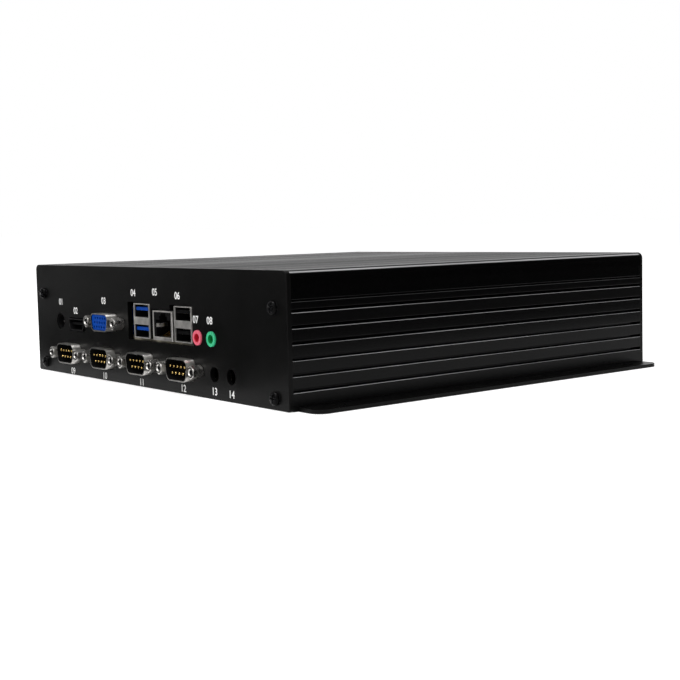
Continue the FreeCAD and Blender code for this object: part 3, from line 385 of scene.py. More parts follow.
def painted_lip_highlights(tree, given):
    """Mask of the rounded lips that face up and out, where a highlight is painted into the
    anodising's colour.
    """
    up, height = tree.facing()["Z"], tree.position()["Z"]
    shoulder = tree.spread(height, *SHOULDER_HEIGHTS)
    lowest = tree.between(shoulder, RIB_TILTS[0], SHOULDER_TILTS[0])
    highest = tree.between(shoulder, RIB_TILTS[1], SHOULDER_TILTS[1])
    rising = tree.spread(up, lowest, tree.maths("ADD", lowest, TILT_FADE_IN))
    falling = tree.spread(up, highest, tree.maths("SUBTRACT", highest, TILT_FADE_OUT))
    # The shoulder's crest gets a second, thin painted highlight
    crest = tree.times(tree.spread(up, *CREST_RISE), tree.spread(up, *CREST_FALL))
    band = tree.maths("MAXIMUM", tree.times(rising, falling), crest)
    streaks = tree.noise(tree.place(ALONG_LIP), given["Break Up"], detail=4.0)
    broken = tree.times(band, tree.spread(streaks, 0.3, 0.7, 0.45, 1.0))
    above = tree.maths("GREATER_THAN", height, given["Shallow Low"])
    below = tree.maths("LESS_THAN", height, given["Shallow High"])
    kept = tree.between(tree.times(above, below), 1.0, SHALLOW_SHARE)
    return {"Mask": tree.times(broken, kept)}


def settled_dust(tree, given):
    """Mask of thin dust on what faces up, and of the upward faces themselves."""
    upward = tree.spread(tree.facing()["Z"], 0.3, 0.95)
    specks = tree.noise(tree.place(), given["Scale"], detail=8.0, roughness=0.7)
    return {"Mask": tree.times(upward, tree.spread(specks, 0.45, 0.8)), "Upward": upward}


def socket_depth(tree, given):
    """Mask that rises from a socket's mouth to its inside, along the plug's way in, for painted
    shade.
    """
    inside = tree.maths("SUBTRACT", tree.position()["Y"], given["Mouth"])
    return {"Mask": tree.maths("DIVIDE", inside, given["Run"], clamp=True)}


def mouth_wall(tree, given):
    """Mask of the walls that face the middle line of a socket's mouth, for painted shade."""
    place, way = tree.position(), tree.facing()
    inward = []
    for axis in "XZ":
        offset = tree.maths("SUBTRACT", given[f"Centre {axis}"], place[axis])
        inward.append(tree.times(offset, way[axis]))
    return {"Mask": tree.spread(tree.maths("ADD", *inward), 0.5 * MM, 2.5 * MM)}


EFFECTS = {
    "Fine Grain": (fine_grain, {"Scale": 2200.0, "Patch Scale": 60.0}),
    "Die Lines": (die_lines, {"Scale": 900.0}),
    "Edge Wear": (edge_wear_and_highlight, {"Radius": 0.4 * MM, "Break Up": 400.0}),
    "Upper Lips": (painted_lip_highlights, {"Break Up": 120.0, "Shallow Low": 0.0, "Shallow High": 0.0}),
    "Settled Dust": (settled_dust, {"Scale": 180.0}),
    "Socket Depth": (socket_depth, {"Mouth": PORT_FACE, "Run": 2.0 * MM}),
    "Mouth Wall": (mouth_wall, {"Centre X": 0.0, "Centre Z": 0.0}),
}


def new_group(name):
    """Makes the node group of a shared effect, with number sockets."""
    maker, inputs = EFFECTS[name]
    group = bpy.data.node_groups.new(name, "ShaderNodeTree")
    kind = "NodeSocketFloat"
    for label, value in inputs.items():
        socket = group.interface.new_socket(label, in_out="INPUT", socket_type=kind)
        socket.default_value = value
    recipe = Recipe(group)
    results = maker(recipe, group.nodes.new("NodeGroupInput").outputs)
    for label in results:
        group.interface.new_socket(label, in_out="OUTPUT", socket_type=kind)
    recipe.feed(group.nodes.new("NodeGroupOutput").inputs, results)
    return group


# Materials


def anodised_case(colours):
    """Satin black anodising over die lines, with a painted highlight on its upper lips and thin
    dust on top.
    """
    look = Finish("Black Anodising", specular_ior_level=0.08)
    lines, dust = look.effect("Die Lines"), look.effect("Settled Dust")
    lips = look.effect("Upper Lips", shallow_low=SHALLOW_LOW, shallow_high=SHALLOW_HIGH)["Mask"]
    black = look.uneven(lines["Streaks"], colours.anodised, 0.8, 1.3)
    # Painted highlight: the upper lips take a pale colour in place of the light that would catch
    # them
    bright = look.mix(lips, black, rgba(colours.painted_lip_highlight))
    satin = look.between(lines["Streaks"], 0.2, 0.36)
    return look.cover(
        base_color=look.mix(look.times(dust["Mask"], DUST_SHARE), bright, DUST),
        roughness=look.maths("ADD", satin, look.times(dust["Upward"], DUST_DULLING)),
        normal=look.raised(lines["Height"], 0.004 * MM),
    )


def coated(
    name, colour, rough, grain_scale=2200.0, skin=0.02 * MM, wear_and_highlight=0.2, specular=0.05, rubbed_and_highlight=8.0,
):
    """Powder coat, paint or moulded plastic: a pebbled skin with uneven gloss, and edges lightened
    both as wear and as a painted highlight.
    """
    look = Finish(name, specular_ior_level=specular)
    grain = look.effect("Fine Grain", scale=grain_scale)
    edges = look.effect("Edge Wear", radius=WORN_AND_LIT_EDGE)["Mask"]
    base = look.uneven(grain["Patches"], colour, 0.9, 1.15)
    return look.cover(
        # Edges are lightened for wear and as a painted highlight where light would catch them
        base_color=look.mix(look.times(edges, wear_and_highlight), base, rgba(colour, rubbed_and_highlight)),
        roughness=look.between(grain["Patches"], rough - 0.05, rough + 0.05),
        normal=look.raised(grain["Height"], skin),
    )


def moulded(name, colour, rough=0.45, wear_and_highlight=0.0, specular=0.05):
    """Moulded plastic with a fine, shallow skin."""
    return coated(name, colour, rough, MOULDED_GRAIN, MOULDED_SKIN, wear_and_highlight, specular)


def plated(name, colour, rough):
    """Plated metal with a slightly uneven gloss and dull patches."""
    look = Finish(name, metallic=1.0)
    grain = look.effect("Fine Grain", **METAL_GRAIN)
    return look.cover(
        base_color=look.uneven(grain["Patches"], colour, 0.82, 1.08),
        roughness=look.between(grain["Patches"], rough - 0.06, rough + 0.08),
        normal=look.raised(grain["Height"], 0.004 * MM),
    )


def socket_shell(name, colour, rough, inner_effect, **where):
    """Plated shell of a socket, with painted shade inside its mouth, where it turns dark, matt and
    not metallic.
    """
    look = Finish(name, specular_ior_level=0.05)
    grain = look.effect("Fine Grain", **METAL_GRAIN)
    inside = look.effect(inner_effect, **where)["Mask"]
    bright = look.uneven(grain["Patches"], colour, 0.8, 1.15)
    return look.cover(
        # Painted shade: the mouth's inside takes a near-black, matt, non-metallic finish
        base_color=look.mix(inside, bright, MOUTH_SHADE),
        metallic=look.between(inside, 1.0, 0.0),
        roughness=look.between(inside, rough, 0.8),
        normal=look.raised(grain["Height"], 0.0015 * MM),
    )


def mouth_of(node):
    """Inputs that put the Mouth Wall effect on the middle line of a socket."""
    low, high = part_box(node)
    return {"centre_x": (low.x + high.x) / 2, "centre_z": (low.z + high.z) / 2}


def dee_finish(colours, node):
    """Finish of one drawn D shell, with painted shade on the walls that face its middle."""
    name = f"Drawn Nickel {node}"
    return socket_shell(name, colours.nickel, 0.3, "Mouth Wall", **mouth_of(node))


def jack_moulding(name, colour, node):
    """Glossy moulding of an audio jack, with painted shade down its bore."""
    look = Finish(name, specular_ior_level=0.4)
    grain = look.effect("Fine Grain", scale=MOULDED_GRAIN)
    bore = look.spread(look.effect("Mouth Wall", **mouth_of(node))["Mask"], 0.0, 0.5)
    face = look.uneven(grain["Patches"], colour, 0.9, 1.15)
    return look.cover(
        # Painted shade: the colour deepens down the bore
        base_color=look.mix(bore, face, rgba([channel * channel for channel in colour])),
        roughness=look.between(grain["Patches"], 0.3, 0.4),
        normal=look.raised(grain["Height"], MOULDED_SKIN),
    )


def printed_board(name, colour):
    """Solder resist over faint copper tracks, with bare glass fibre at the cut edges."""
    look = Finish(name, specular_ior_level=0.5)
    tracks = look.add("TexBrick", {
        "Vector": look.place(), "Scale": 160.0, "Mortar Size": 0.06, "Brick Width": 1.7,
        "Row Height": 0.22, "Color1": rgba(colour), "Color2": rgba(colour, 1.3),
        "Mortar": rgba(colour, 2.2),
    })
    cut_edge = look.spread(look.maths("ABSOLUTE", look.facing()["Z"]), 0.6, 0.4)
    grain = look.effect("Fine Grain", scale=700.0)
    return look.cover(
        base_color=look.mix(cut_edge, tracks["Color"], GLASS_FIBRE),
        roughness=look.between(grain["Patches"], 0.28, 0.4),
        normal=look.raised(tracks["Fac"], 0.03 * MM, strength=0.5),
    )


def tinted_lens(name, colour):
    """Diffusing coloured lens of a lamp."""
    look = Finish(name, transmission_weight=0.4, ior=1.49)
    grain = look.effect("Fine Grain", scale=500.0, patch_scale=200.0)
    return look.cover(
        base_color=look.uneven(grain["Patches"], colour, 0.9, 1.1),
        roughness=look.between(grain["Patches"], 0.12, 0.22),
    )


def dress(material, *names):
    """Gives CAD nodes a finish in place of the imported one."""
    for name in names:
        mesh = NODES[name].data
        mesh.materials.clear()
        mesh.materials.append(material)


def soften(width, *names):
    """Rounds the sharp edges of CAD nodes."""
    for name in names:
        stack = NODES[name].modifiers
        stack.new("Join", "WELD").merge_threshold = 0.001 * MM
        rounding = stack.new("Rounded Edges", "BEVEL")
        rounding.width = width
        rounding.segments = 3
        rounding.limit_method = "ANGLE"
        rounding.angle_limit = math.radians(35)
        rounding.harden_normals = True


# Meshes


def round_angles(sides):
    """Evenly spaced angles round a circle."""
    return [2 * math.pi * k / sides for k in range(sides)]


def bridge(mesh, rings, capped=False):
    """Joins each ring of points, or single tip, to the next; returns the faces of each gap."""
    gaps = []
    for low, high in zip(rings, rings[1:]):
        faces = []
        for k in range(max(len(low), len(high))):
            corners = [low[k % len(low)], low[(k + 1) % len(low)]]
            corners += [high[(k + 1) % len(high)], high[k % len(high)]]
            corners = list(dict.fromkeys(corners))
            if len(corners) > 2:
                faces.append(mesh.faces.new(corners))
        gaps.append(faces)
    if capped:
        for end in (rings[0], rings[-1]):
            mesh.faces.new(end)
    bmesh.ops.recalc_face_normals(mesh, faces=mesh.faces)
    return gaps


def lathe(profile, sides, lined=0):
    """Turned solid from (radius, height) rows, about Z; rows on the axis close it.

    A row (flats, height, fall) is a hexagon with a turned chamfer. The first gaps between rows,
    as many as are lined, get the second material.
    """
    mesh = bmesh.new()
    rings = []
    for radius, height, *fall in profile:
        ring = []
        for angle in round_angles(sides if radius else 1):
            from_flat = (angle + math.pi / 6) % (math.pi / 3) - math.pi / 6
            reach = radius / 2 / math.cos(from_flat) if fall else radius
            level = height + sum(fall) * CHAMFER_FALL * (reach - CHAMFER_START * radius)
            ring.append(mesh.verts.new((reach * math.cos(angle), reach * math.sin(angle), level)))
        rings.append(ring)
    for faces in bridge(mesh, rings)[:lined]:
        for face in faces:
            face.material_index = 1
    return mesh


def add_copy(whole, source, matrix):
    """Adds a copy of a mesh at a place."""
    fresh = len(whole.verts)
    whole.from_mesh(source)
    whole.verts.ensure_lookup_table()
    bmesh.ops.transform(whole, matrix=matrix, verts=whole.verts[fresh:])


def copies(mesh, matrices):
    """One mesh holding a copy of another at each place."""
    source = bpy.data.meshes.new("copy")
    mesh.to_mesh(source)
    mesh.free()
    whole = bmesh.new()
    for matrix in matrices:
        add_copy(whole, source, matrix)
    bpy.data.meshes.remove(source)
    return whole


def to_object(name, mesh):
    """Puts a mesh in the scene as an object."""
    data = bpy.data.meshes.new(name)
    mesh.to_mesh(data)
    mesh.free()
    made = bpy.data.objects.new(name, data)
    bpy.context.scene.collection.objects.link(made)
    return made


def cut_away(solid, tool):
    """The first mesh without the second."""
    base, cutter = to_object("cut_base", solid), to_object("cut_tool", tool)
    modifier = base.modifiers.new("cut", "BOOLEAN")
    modifier.object = cutter
    modifier.operation = "DIFFERENCE"
    modifier.solver = "EXACT"
    seen = base.evaluated_get(bpy.context.evaluated_depsgraph_get())
    result = bpy.data.meshes.new_from_object(seen)
    mesh = bmesh.new()
    mesh.from_mesh(result)
    for item in (base.data, cutter.data, result):
        bpy.data.meshes.remove(item)
    return mesh


def piece(name, mesh, materials, stands_for=None, crease=35.0):
    """Puts a finished mesh in the scene as a piece of the computer's body."""
    made = to_object(name, mesh)
    for material in materials:
        made.data.materials.append(material)
    made.data.set_sharp_from_angle(angle=math.radians(crease))
    for face in made.data.polygons:
        face.use_smooth = True
    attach(made, "computer")
    if stands_for:
        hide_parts(stands_for)
    return made


def islands(name):
    """Boxes of the separate solids of a CAD node, each as its low and high corner."""
    mesh = bmesh.new()
    mesh.from_mesh(NODES[name].data)
    bmesh.ops.remove_doubles(mesh, verts=mesh.verts, dist=0.001 * MM)
    boxes, seen = [], set()
    for first in mesh.verts:
        queue, found = [first], []
        while queue:
            vert = queue.pop()
            if vert not in seen:
                seen.add(vert)
                found.append(vert.co)
                queue += [edge.other_vert(vert) for edge in vert.link_edges]
        if found:
            boxes.append([Vector(map(pick, zip(*found))) for pick in (min, max)])
    mesh.free()
    return boxes


def placed(boxes, turn, **level):
    """A turned place at the middle of each box, with any coordinate that is given instead."""
    places = []
    for low, high in boxes:
        spot = (low + high) / 2
        for axis, value in level.items():
            setattr(spot, axis, value)
        places.append(Matrix.Translation(spot) @ turn)
    return places


def cross_cutter(reach, width, depth, top):
    """Tapered cross of a driver's recess, from above a height down to its depth."""
    cutter = bmesh.new()
    rings = []
    half = width / 2
    for height, share in ((top + depth, RECESS_MOUTH), (top - depth, RECESS_BOTTOM)):
        ring = []
        for quarter in range(4):
            turn = Matrix.Rotation(math.radians(-90 * quarter), 3, "Z")
            for x, y in ((half, half), (reach * share, half), (reach * share, -half)):
                ring.append(cutter.verts.new(turn @ Vector((x, y, height))))
        rings.append(ring)
    bridge(cutter, rings, capped=True)
    return cutter


def pan_head(radius, height, shank_radius, shank_length):
    """Low domed screw head with a cross recess, standing on Z = 0, with its shank below."""
    rim = height / PAN_CROWN
    shank = [(0, -shank_length), (shank_radius, -shank_length), (shank_radius, 0)]
    edge = [(out * radius, up * rim) for out, up in PAN_RIM]
    recess = cross_cutter(reach=0.66 * radius, width=0.26 * radius, depth=0.8 * rim, top=rim)
    return cut_away(lathe([*shank, *edge, (0, height)], 40), recess)


def sunk_head(radius, shank_radius, shank_length):
    """Flat screw head with a cross recess, flush with Z = 0, with its cone and shank below."""
    cone = radius - shank_radius
    shank = [(0, -shank_length), (shank_radius, -shank_length), (shank_radius, -cone)]
    depth = 0.45 * cone + 0.4 * MM
    recess = cross_cutter(reach=0.62 * radius, width=0.2 * radius, depth=depth, top=0.0)
    return cut_away(lathe([*shank, (radius, 0), (0, 0)], 40), recess)


def jack_screw(flats, head, tail):
    """Hexagonal jack screw with a threaded bore; its head stands on Z = 0, its tail is below."""
    chamfer = CHAMFER_START * flats
    threads = 2 * int(BORE_DEPTH / THREAD_PITCH)
    profile = [(0.0, head - BORE_DEPTH)]
    for k in reversed(range(threads)):
        radius = JACK_BORE * (1.0 if k % 2 else THREAD_CREST)
        profile.append((radius, head - THREAD_START - k * THREAD_PITCH / 2))
    profile += [(JACK_BORE * BORE_FLARE, head), (chamfer, head), (flats, head, -1)]
    profile += [(flats, 0.0, 1), (chamfer, 0.0)]
    profile += [(JACK_TAIL, 0.0), (JACK_TAIL, -tail), (0.0, -tail)]
    return lathe(profile, 48, lined=threads)


def strip(mesh, start, line, bend, across, thick):
    """Adds a flat strip along a side line; vectors give its bend, its width and its thickness."""
    corners = ((-0.5, 0.0), (0.5, 0.0), (0.5, 1.0), (-0.5, 1.0))
    rings = []
    for deep, off in line:
        point = start + (Y_AXIS * deep + bend * off) * MM
        rings.append([mesh.verts.new(point + across * a + thick * b) for a, b in corners])
    bridge(mesh, rings, capped=True)


def coil(radius, wire, height, turns):
    """Round wire wound up the Z axis, with one closed turn at each end."""
    steps, sides = 28, 8
    mesh = bmesh.new()
    rings = []
    open_pitch = (height - 2 * wire) / (turns - 2)
    for step in range(turns * steps + 1):
        turn = step / steps
        closed = min(turn, 1) + max(turn - turns + 1, 0)
        rise = wire * closed + open_pitch * min(max(turn - 1, 0), turns - 2)
        outward = Vector((math.cos(2 * math.pi * turn), math.sin(2 * math.pi * turn), 0.0))
        centre = outward * radius + Z_AXIS * rise
        ring = []
        for angle in round_angles(sides):
            offset = outward * math.cos(angle) + Z_AXIS * math.sin(angle)
            ring.append(mesh.verts.new(centre + offset * wire / 2))
        rings.append(ring)
    bridge(mesh, rings, capped=True)
    return mesh


# Operators


class COUNTER_OT_case(Operator):
    """Finishes the ribbed case, its base plate and both end panels"""

    bl_idname = "counter_computer.case"
    bl_label = "Case"

    def execute(self, context):
        colours = settings_of(context).colours
        dress(anodised_case(colours), "top_housing")
        coat = coated("Black Powder Coat", colours.powder_coat, 0.33, specular=0.065)
        dress(coat, "io_panel", "front_panel", "base_plate")
        return {"FINISHED"}


class COUNTER_OT_case_screws(Operator):
    """Makes the cross-recessed screws of the panels and the base"""

    bl_idname = "counter_computer.case_screws"
    bl_label = "Case Screws"

    def execute(self, context):
        # The strong edge lightening puts a painted glint on the rims of the screw heads
        oxide = coated(
            "Black Oxide", settings_of(context).colours.screw_black, 0.24, grain_scale=1500.0,
            skin=0.003 * MM, wear_and_highlight=0.9, specular=0.045, rubbed_and_highlight=62.0,
        )
        for name, tip, face, outward in (
            ("io_panel_screws", 0, PORT_FACE, OUT_OF_PORTS),
            ("front_panel_screws", 1, FRONT_FACE, OUT_OF_FRONT),
        ):
            boxes = islands(name)
            low, high = boxes[0]
            proud = abs(boxes[0][tip].y - face)
            screw = pan_head((high.x - low.x) / 2, proud, PAN_SHANK, high.y - low.y - proud)
            places = [
                place @ Matrix.Rotation(FIRST_TURN + NEXT_TURN * k, 4, "Z")
                for k, place in enumerate(placed(boxes, outward, y=face))
            ]
            piece(f"{name}_recessed", copies(screw, places), [oxide], name)
        for name in ("base_screws", "drive_screws"):
            boxes = islands(name)
            low, high = boxes[0]
            screw = sunk_head((high.x - low.x) / 2, SUNK_SHANK, high.z - low.z)
            places = placed(boxes, OUT_OF_BASE, z=0.0)
            piece(f"{name}_recessed", copies(screw, places), [oxide], name)
        return {"FINISHED"}


class COUNTER_OT_port_numbers(Operator):
    """Prints a plain number beside each socket"""

    bl_idname = "counter_computer.port_numbers"
    bl_label = "Port Numbers"

    def execute(self, context):
        settings = settings_of(context)
        sizes = settings.print_sizes
        whole = bmesh.new()
        for number, (across, up) in enumerate(PRINT_PLACES, start=1):
            curve = bpy.data.curves.new("number", "FONT")
            curve.body = f"{number:02d}"
            curve.size = sizes.digit_height * FONT_SIZE
            curve.align_x, curve.align_y = "CENTER", "CENTER"
            curve.extrude = sizes.ink / 2
            curve.offset = sizes.boldness
            holder = bpy.data.objects.new("number", curve)
            flat = bpy.data.meshes.new_from_object(holder)
            spot = Matrix.Translation((across * MM, PORT_FACE - sizes.ink / 2, up * MM))
            add_copy(whole, flat, spot @ OUT_OF_PORTS)
            bpy.data.objects.remove(holder)
            bpy.data.curves.remove(curve)
            bpy.data.meshes.remove(flat)
        white = coated(
            "White Print", settings.colours.print_white, 0.6, grain_scale=3000.0, skin=0.004 * MM,
            wear_and_highlight=0.0,
        )
        piece("port_numbers", whole, [white])
        return {"FINISHED"}


class COUNTER_OT_jack_screws(Operator):
    """Makes the threaded jack screws beside the D ports"""

    bl_idname = "counter_computer.jack_screws"
    bl_label = "Jack Screws"

    def execute(self, context):
        colours = settings_of(context).colours
        nickel = plated("Turned Nickel", colours.nickel, 0.27)
        # Painted shade: the threaded bores take a near-black metal in place of the shade inside
        # them
        bore = plated("Threaded Bore", colours.dark_nickel, 0.5)
        for name in ("serial_jackscrews", "analog_video_jackscrews"):
            boxes = islands(name)
            low, high = boxes[0]
            screw = jack_screw(high.z - low.z, PORT_FACE - low.y, high.y - PORT_FACE)
            whole = copies(screw, placed(boxes, OUT_OF_PORTS, y=PORT_FACE))
            piece(f"{name}_threaded", whole, [nickel, bore], name, crease=28.0)
        return {"FINISHED"}


class COUNTER_OT_serial_ports(Operator):
    """Finishes the four serial ports and rounds their pins"""

    bl_idname = "counter_computer.serial_ports"
    bl_label = "Serial Ports"

    def execute(self, context):
        colours = settings_of(context).colours
        shells = [f"serial_shell_{k}" for k in SERIAL_PORTS]
        for shell in shells:
            dress(dee_finish(colours, shell), shell)
        soften(0.2 * MM, *shells)
        dark = moulded("Serial Insulator", colours.moulding)
        dress(dark, *(f"serial_insert_{k}" for k in SERIAL_PORTS))
        boxes = islands("serial_pins")
        low, high = boxes[0]
        radius, reach = (high.x - low.x) / 2, high.y - low.y
        tip = []
        for angle in round_angles(16)[:5]:
            inward, back = 1 - math.cos(angle), 1 - math.sin(angle)
            tip.append((radius * (1 - PIN_ROUND * inward), reach - radius * PIN_ROUND * back))
        pin = lathe([(0, 0), (radius, 0), *tip, (0, reach)], 16)
        whole = copies(pin, placed(boxes, OUT_OF_PORTS, y=high.y))
        gold = plated("Gold Pins", colours.gold, 0.22)
        piece("serial_pins_rounded", whole, [gold], "serial_pins")
        return {"FINISHED"}


class COUNTER_OT_video_ports(Operator):
    """Finishes the analog and the digital video ports"""

    bl_idname = "counter_computer.video_ports"
    bl_label = "Video Ports"

    def execute(self, context):
        colours = settings_of(context).colours
        dress(dee_finish(colours, "analog_video_shell"), "analog_video_shell")
        soften(0.2 * MM, "analog_video_shell")
        dress(moulded("Blue Video Insert", colours.blue, specular=0.03), "analog_video_insert")
        # Painted shade inside the mouth of the digital video frame
        where = {"mouth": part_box("digital_video_shell")[0].y, "run": 1.5 * MM}
        dark = socket_shell(
            "Digital Video Frame", colours.dark_nickel, 0.35, "Socket Depth", **where
        )
        dress(dark, "digital_video_shell")
        dress(moulded("Video Tongue", colours.moulding), "digital_video_tongue")
        return {"FINISHED"}


class COUNTER_OT_stacked_ports(Operator):
    """Finishes both stacks of flat ports and their tongues"""

    bl_idname = "counter_computer.stacked_ports"
    bl_label = "Stacked Ports"

    def execute(self, context):
        colours = settings_of(context).colours
        shells = ("blue_port_shell", "black_port_shell")
        # Painted shade just inside the mouths of the port frames
        where = {"mouth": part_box("blue_port_shell")[0].y, "run": 0.7 * MM}
        dress(socket_shell("Port Frame", colours.port_frame, 0.4, "Socket Depth", **where), *shells)
        soften(0.4 * MM, *shells)
        dress(moulded("Blue Tongue", colours.blue), "blue_port_tongues")
        dress(moulded("Black Tongue", colours.moulding, 0.4, wear_and_highlight=0.2), "black_port_tongues")
        self.contacts(plated("Port Contacts", colours.gold, 0.25))
        return {"FINISHED"}

    def contacts(self, gold):
        """Four sprung strips under each tongue."""
        mesh = bmesh.new()
        across, thick = X_AXIS * CONTACT_WIDTH, Z_AXIS * CONTACT_THICK
        for low, high in (*islands("blue_port_tongues"), *islands("black_port_tongues")):
            for step in (-1.5, -0.5, 0.5, 1.5):
                start = Vector(((low.x + high.x) / 2 + step * CONTACT_PITCH, low.y, low.z))
                strip(mesh, start, PORT_CONTACT, -Z_AXIS, across, thick)
        piece("port_contacts", mesh, [gold])


class COUNTER_OT_network_jack(Operator):
    """Finishes the network jack and bends its contacts and earthing fingers"""

    bl_idname = "counter_computer.network_jack"
    bl_label = "Network Jack"

    def execute(self, context):
        colours = settings_of(context).colours
        dress(plated("Jack Shield", colours.port_frame, 0.4), "network_jack_shield")
        soften(0.18 * MM, "network_jack_shield")
        dress(moulded("Jack Insulator", colours.moulding), "network_jack_insert")
        self.wires(plated("Jack Contacts", colours.gold, 0.22))
        self.fingers(plated("Shield Fingers", colours.port_frame, 0.3))
        return {"FINISHED"}

    def wires(self, gold):
        """Eight sprung wires that slope up into the mouth."""
        mesh = bmesh.new()
        for low, high in islands("network_jack_contacts"):
            start, size = Vector(((low.x + high.x) / 2, low.y, low.z)), high - low
            strip(mesh, start, JACK_WIRE, Z_AXIS, X_AXIS * size.x, Z_AXIS * size.z)
        piece("network_contacts_sprung", mesh, [gold], "network_jack_contacts")

    def fingers(self, nickel):
        """Bent earthing fingers of the shield, one on each side wall of the mouth."""
        low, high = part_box("network_jack_shield")
        middle = (low + high) / 2
        mesh = bmesh.new()
        for outward in (-X_AXIS, X_AXIS):
            start = Vector((middle.x, low.y, middle.z)) + outward * FINGER_REACH
            across, thick = Z_AXIS * FINGER_WIDTH, outward * FINGER_THICK
            strip(mesh, start, SHIELD_FINGER, -outward, across, thick)
        piece("network_jack_fingers", mesh, [nickel])


class COUNTER_OT_round_jacks(Operator):
    """Finishes the audio jacks and the power inlet"""

    bl_idname = "counter_computer.round_jacks"
    bl_label = "Audio And Power Jacks"

    def execute(self, context):
        colours = settings_of(context).colours
        dress(jack_moulding("Pink Jack", colours.pink, "microphone_jack"), "microphone_jack")
        dress(jack_moulding("Green Jack", colours.green, "speaker_jack"), "speaker_jack")
        dress(moulded("Power Jack", colours.moulding, 0.4, wear_and_highlight=0.1), "dc_jack")
        soften(0.4 * MM, "microphone_jack", "speaker_jack")
        soften(0.2 * MM, "dc_jack")
        dress(plated("Power Pin", colours.nickel, 0.25), "dc_jack_pin")
        return {"FINISHED"}


class COUNTER_OT_power_switch(Operator):
    """Finishes the power button, its bushing and both lamps, and winds the return spring"""

    bl_idname = "counter_computer.power_switch"
    bl_label = "Power Switch And Lamps"

    def execute(self, context):
        colours = settings_of(context).colours
        metal = plated("Switch Metal", colours.nickel, 0.22)
        dress(metal, "switch_bushing", "switch_nut", "power_button")
        plastic = moulded("Switch Moulding", colours.moulding, 0.5, wear_and_highlight=0.1)
        dress(plastic, "switch_body", "lamp_holders")
        self.spring(plated("Spring Steel", (0.5, 0.5, 0.5), 0.3))
        dress(tinted_lens("Green Lens", (0.10, 0.60, 0.15)), "power_lamp")
        dress(tinted_lens("Amber Lens", (0.80, 0.35, 0.05)), "drive_lamp")
        return {"FINISHED"}

    def spring(self, steel):
        """Return spring with closed end turns, on a mesh of its own."""
        low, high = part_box("return_spring")
        middle = (low + high) / 2
        wire, run = SPRING_WIRE, high.y - low.y
        mesh = coil((high.x - low.x - wire) / 2, wire, run - wire, SPRING_TURNS)
        start = Matrix.Translation((middle.x, low.y + wire / 2, middle.z))
        bmesh.ops.transform(mesh, matrix=start @ OUT_OF_FRONT, verts=mesh.verts)
        made = piece("return_spring_coiled", mesh, [steel], "return_spring")
        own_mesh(made)


class COUNTER_OT_inner_parts(Operator):
    """Finishes the boards and what they carry inside the case"""

    bl_idname = "counter_computer.inner_parts"
    bl_label = "Inner Parts"

    def execute(self, context):
        colours = settings_of(context).colours
        resist = printed_board("Solder Resist", colours.board)
        dress(resist, "mainboard", "serial_board", "memory_module")
        dress(coated("Chip Package", (0.02, 0.02, 0.022), 0.5, 1500.0), "processor")
        pad = coated("Thermal Pad", (0.30, 0.34, 0.48), 0.8, 800.0, 0.05 * MM, wear_and_highlight=0.0)
        dress(pad, "thermal_pad")
        aluminium = plated("Milled Aluminium", (0.7, 0.7, 0.72), 0.35)
        dress(aluminium, "heat_block", "storage_drive", "board_capacitors")
        zinc = plated("Zinc Plate", (0.6, 0.6, 0.6), 0.32)
        dress(zinc, "board_screws", "heat_block_screws", "coin_cell")
        dress(plated("Turned Brass", (0.7, 0.55, 0.28), 0.3), "board_standoffs")
        ferrite = coated("Pressed Ferrite", (0.13, 0.13, 0.13), 0.7, 1800.0, 0.05 * MM)
        dress(ferrite, "board_chokes")
        sockets = moulded("Board Sockets", colours.moulding, 0.5, wear_and_highlight=0.1)
        dress(sockets, "memory_socket", "coin_cell_holder", "serial_link")
        return {"FINISHED"}


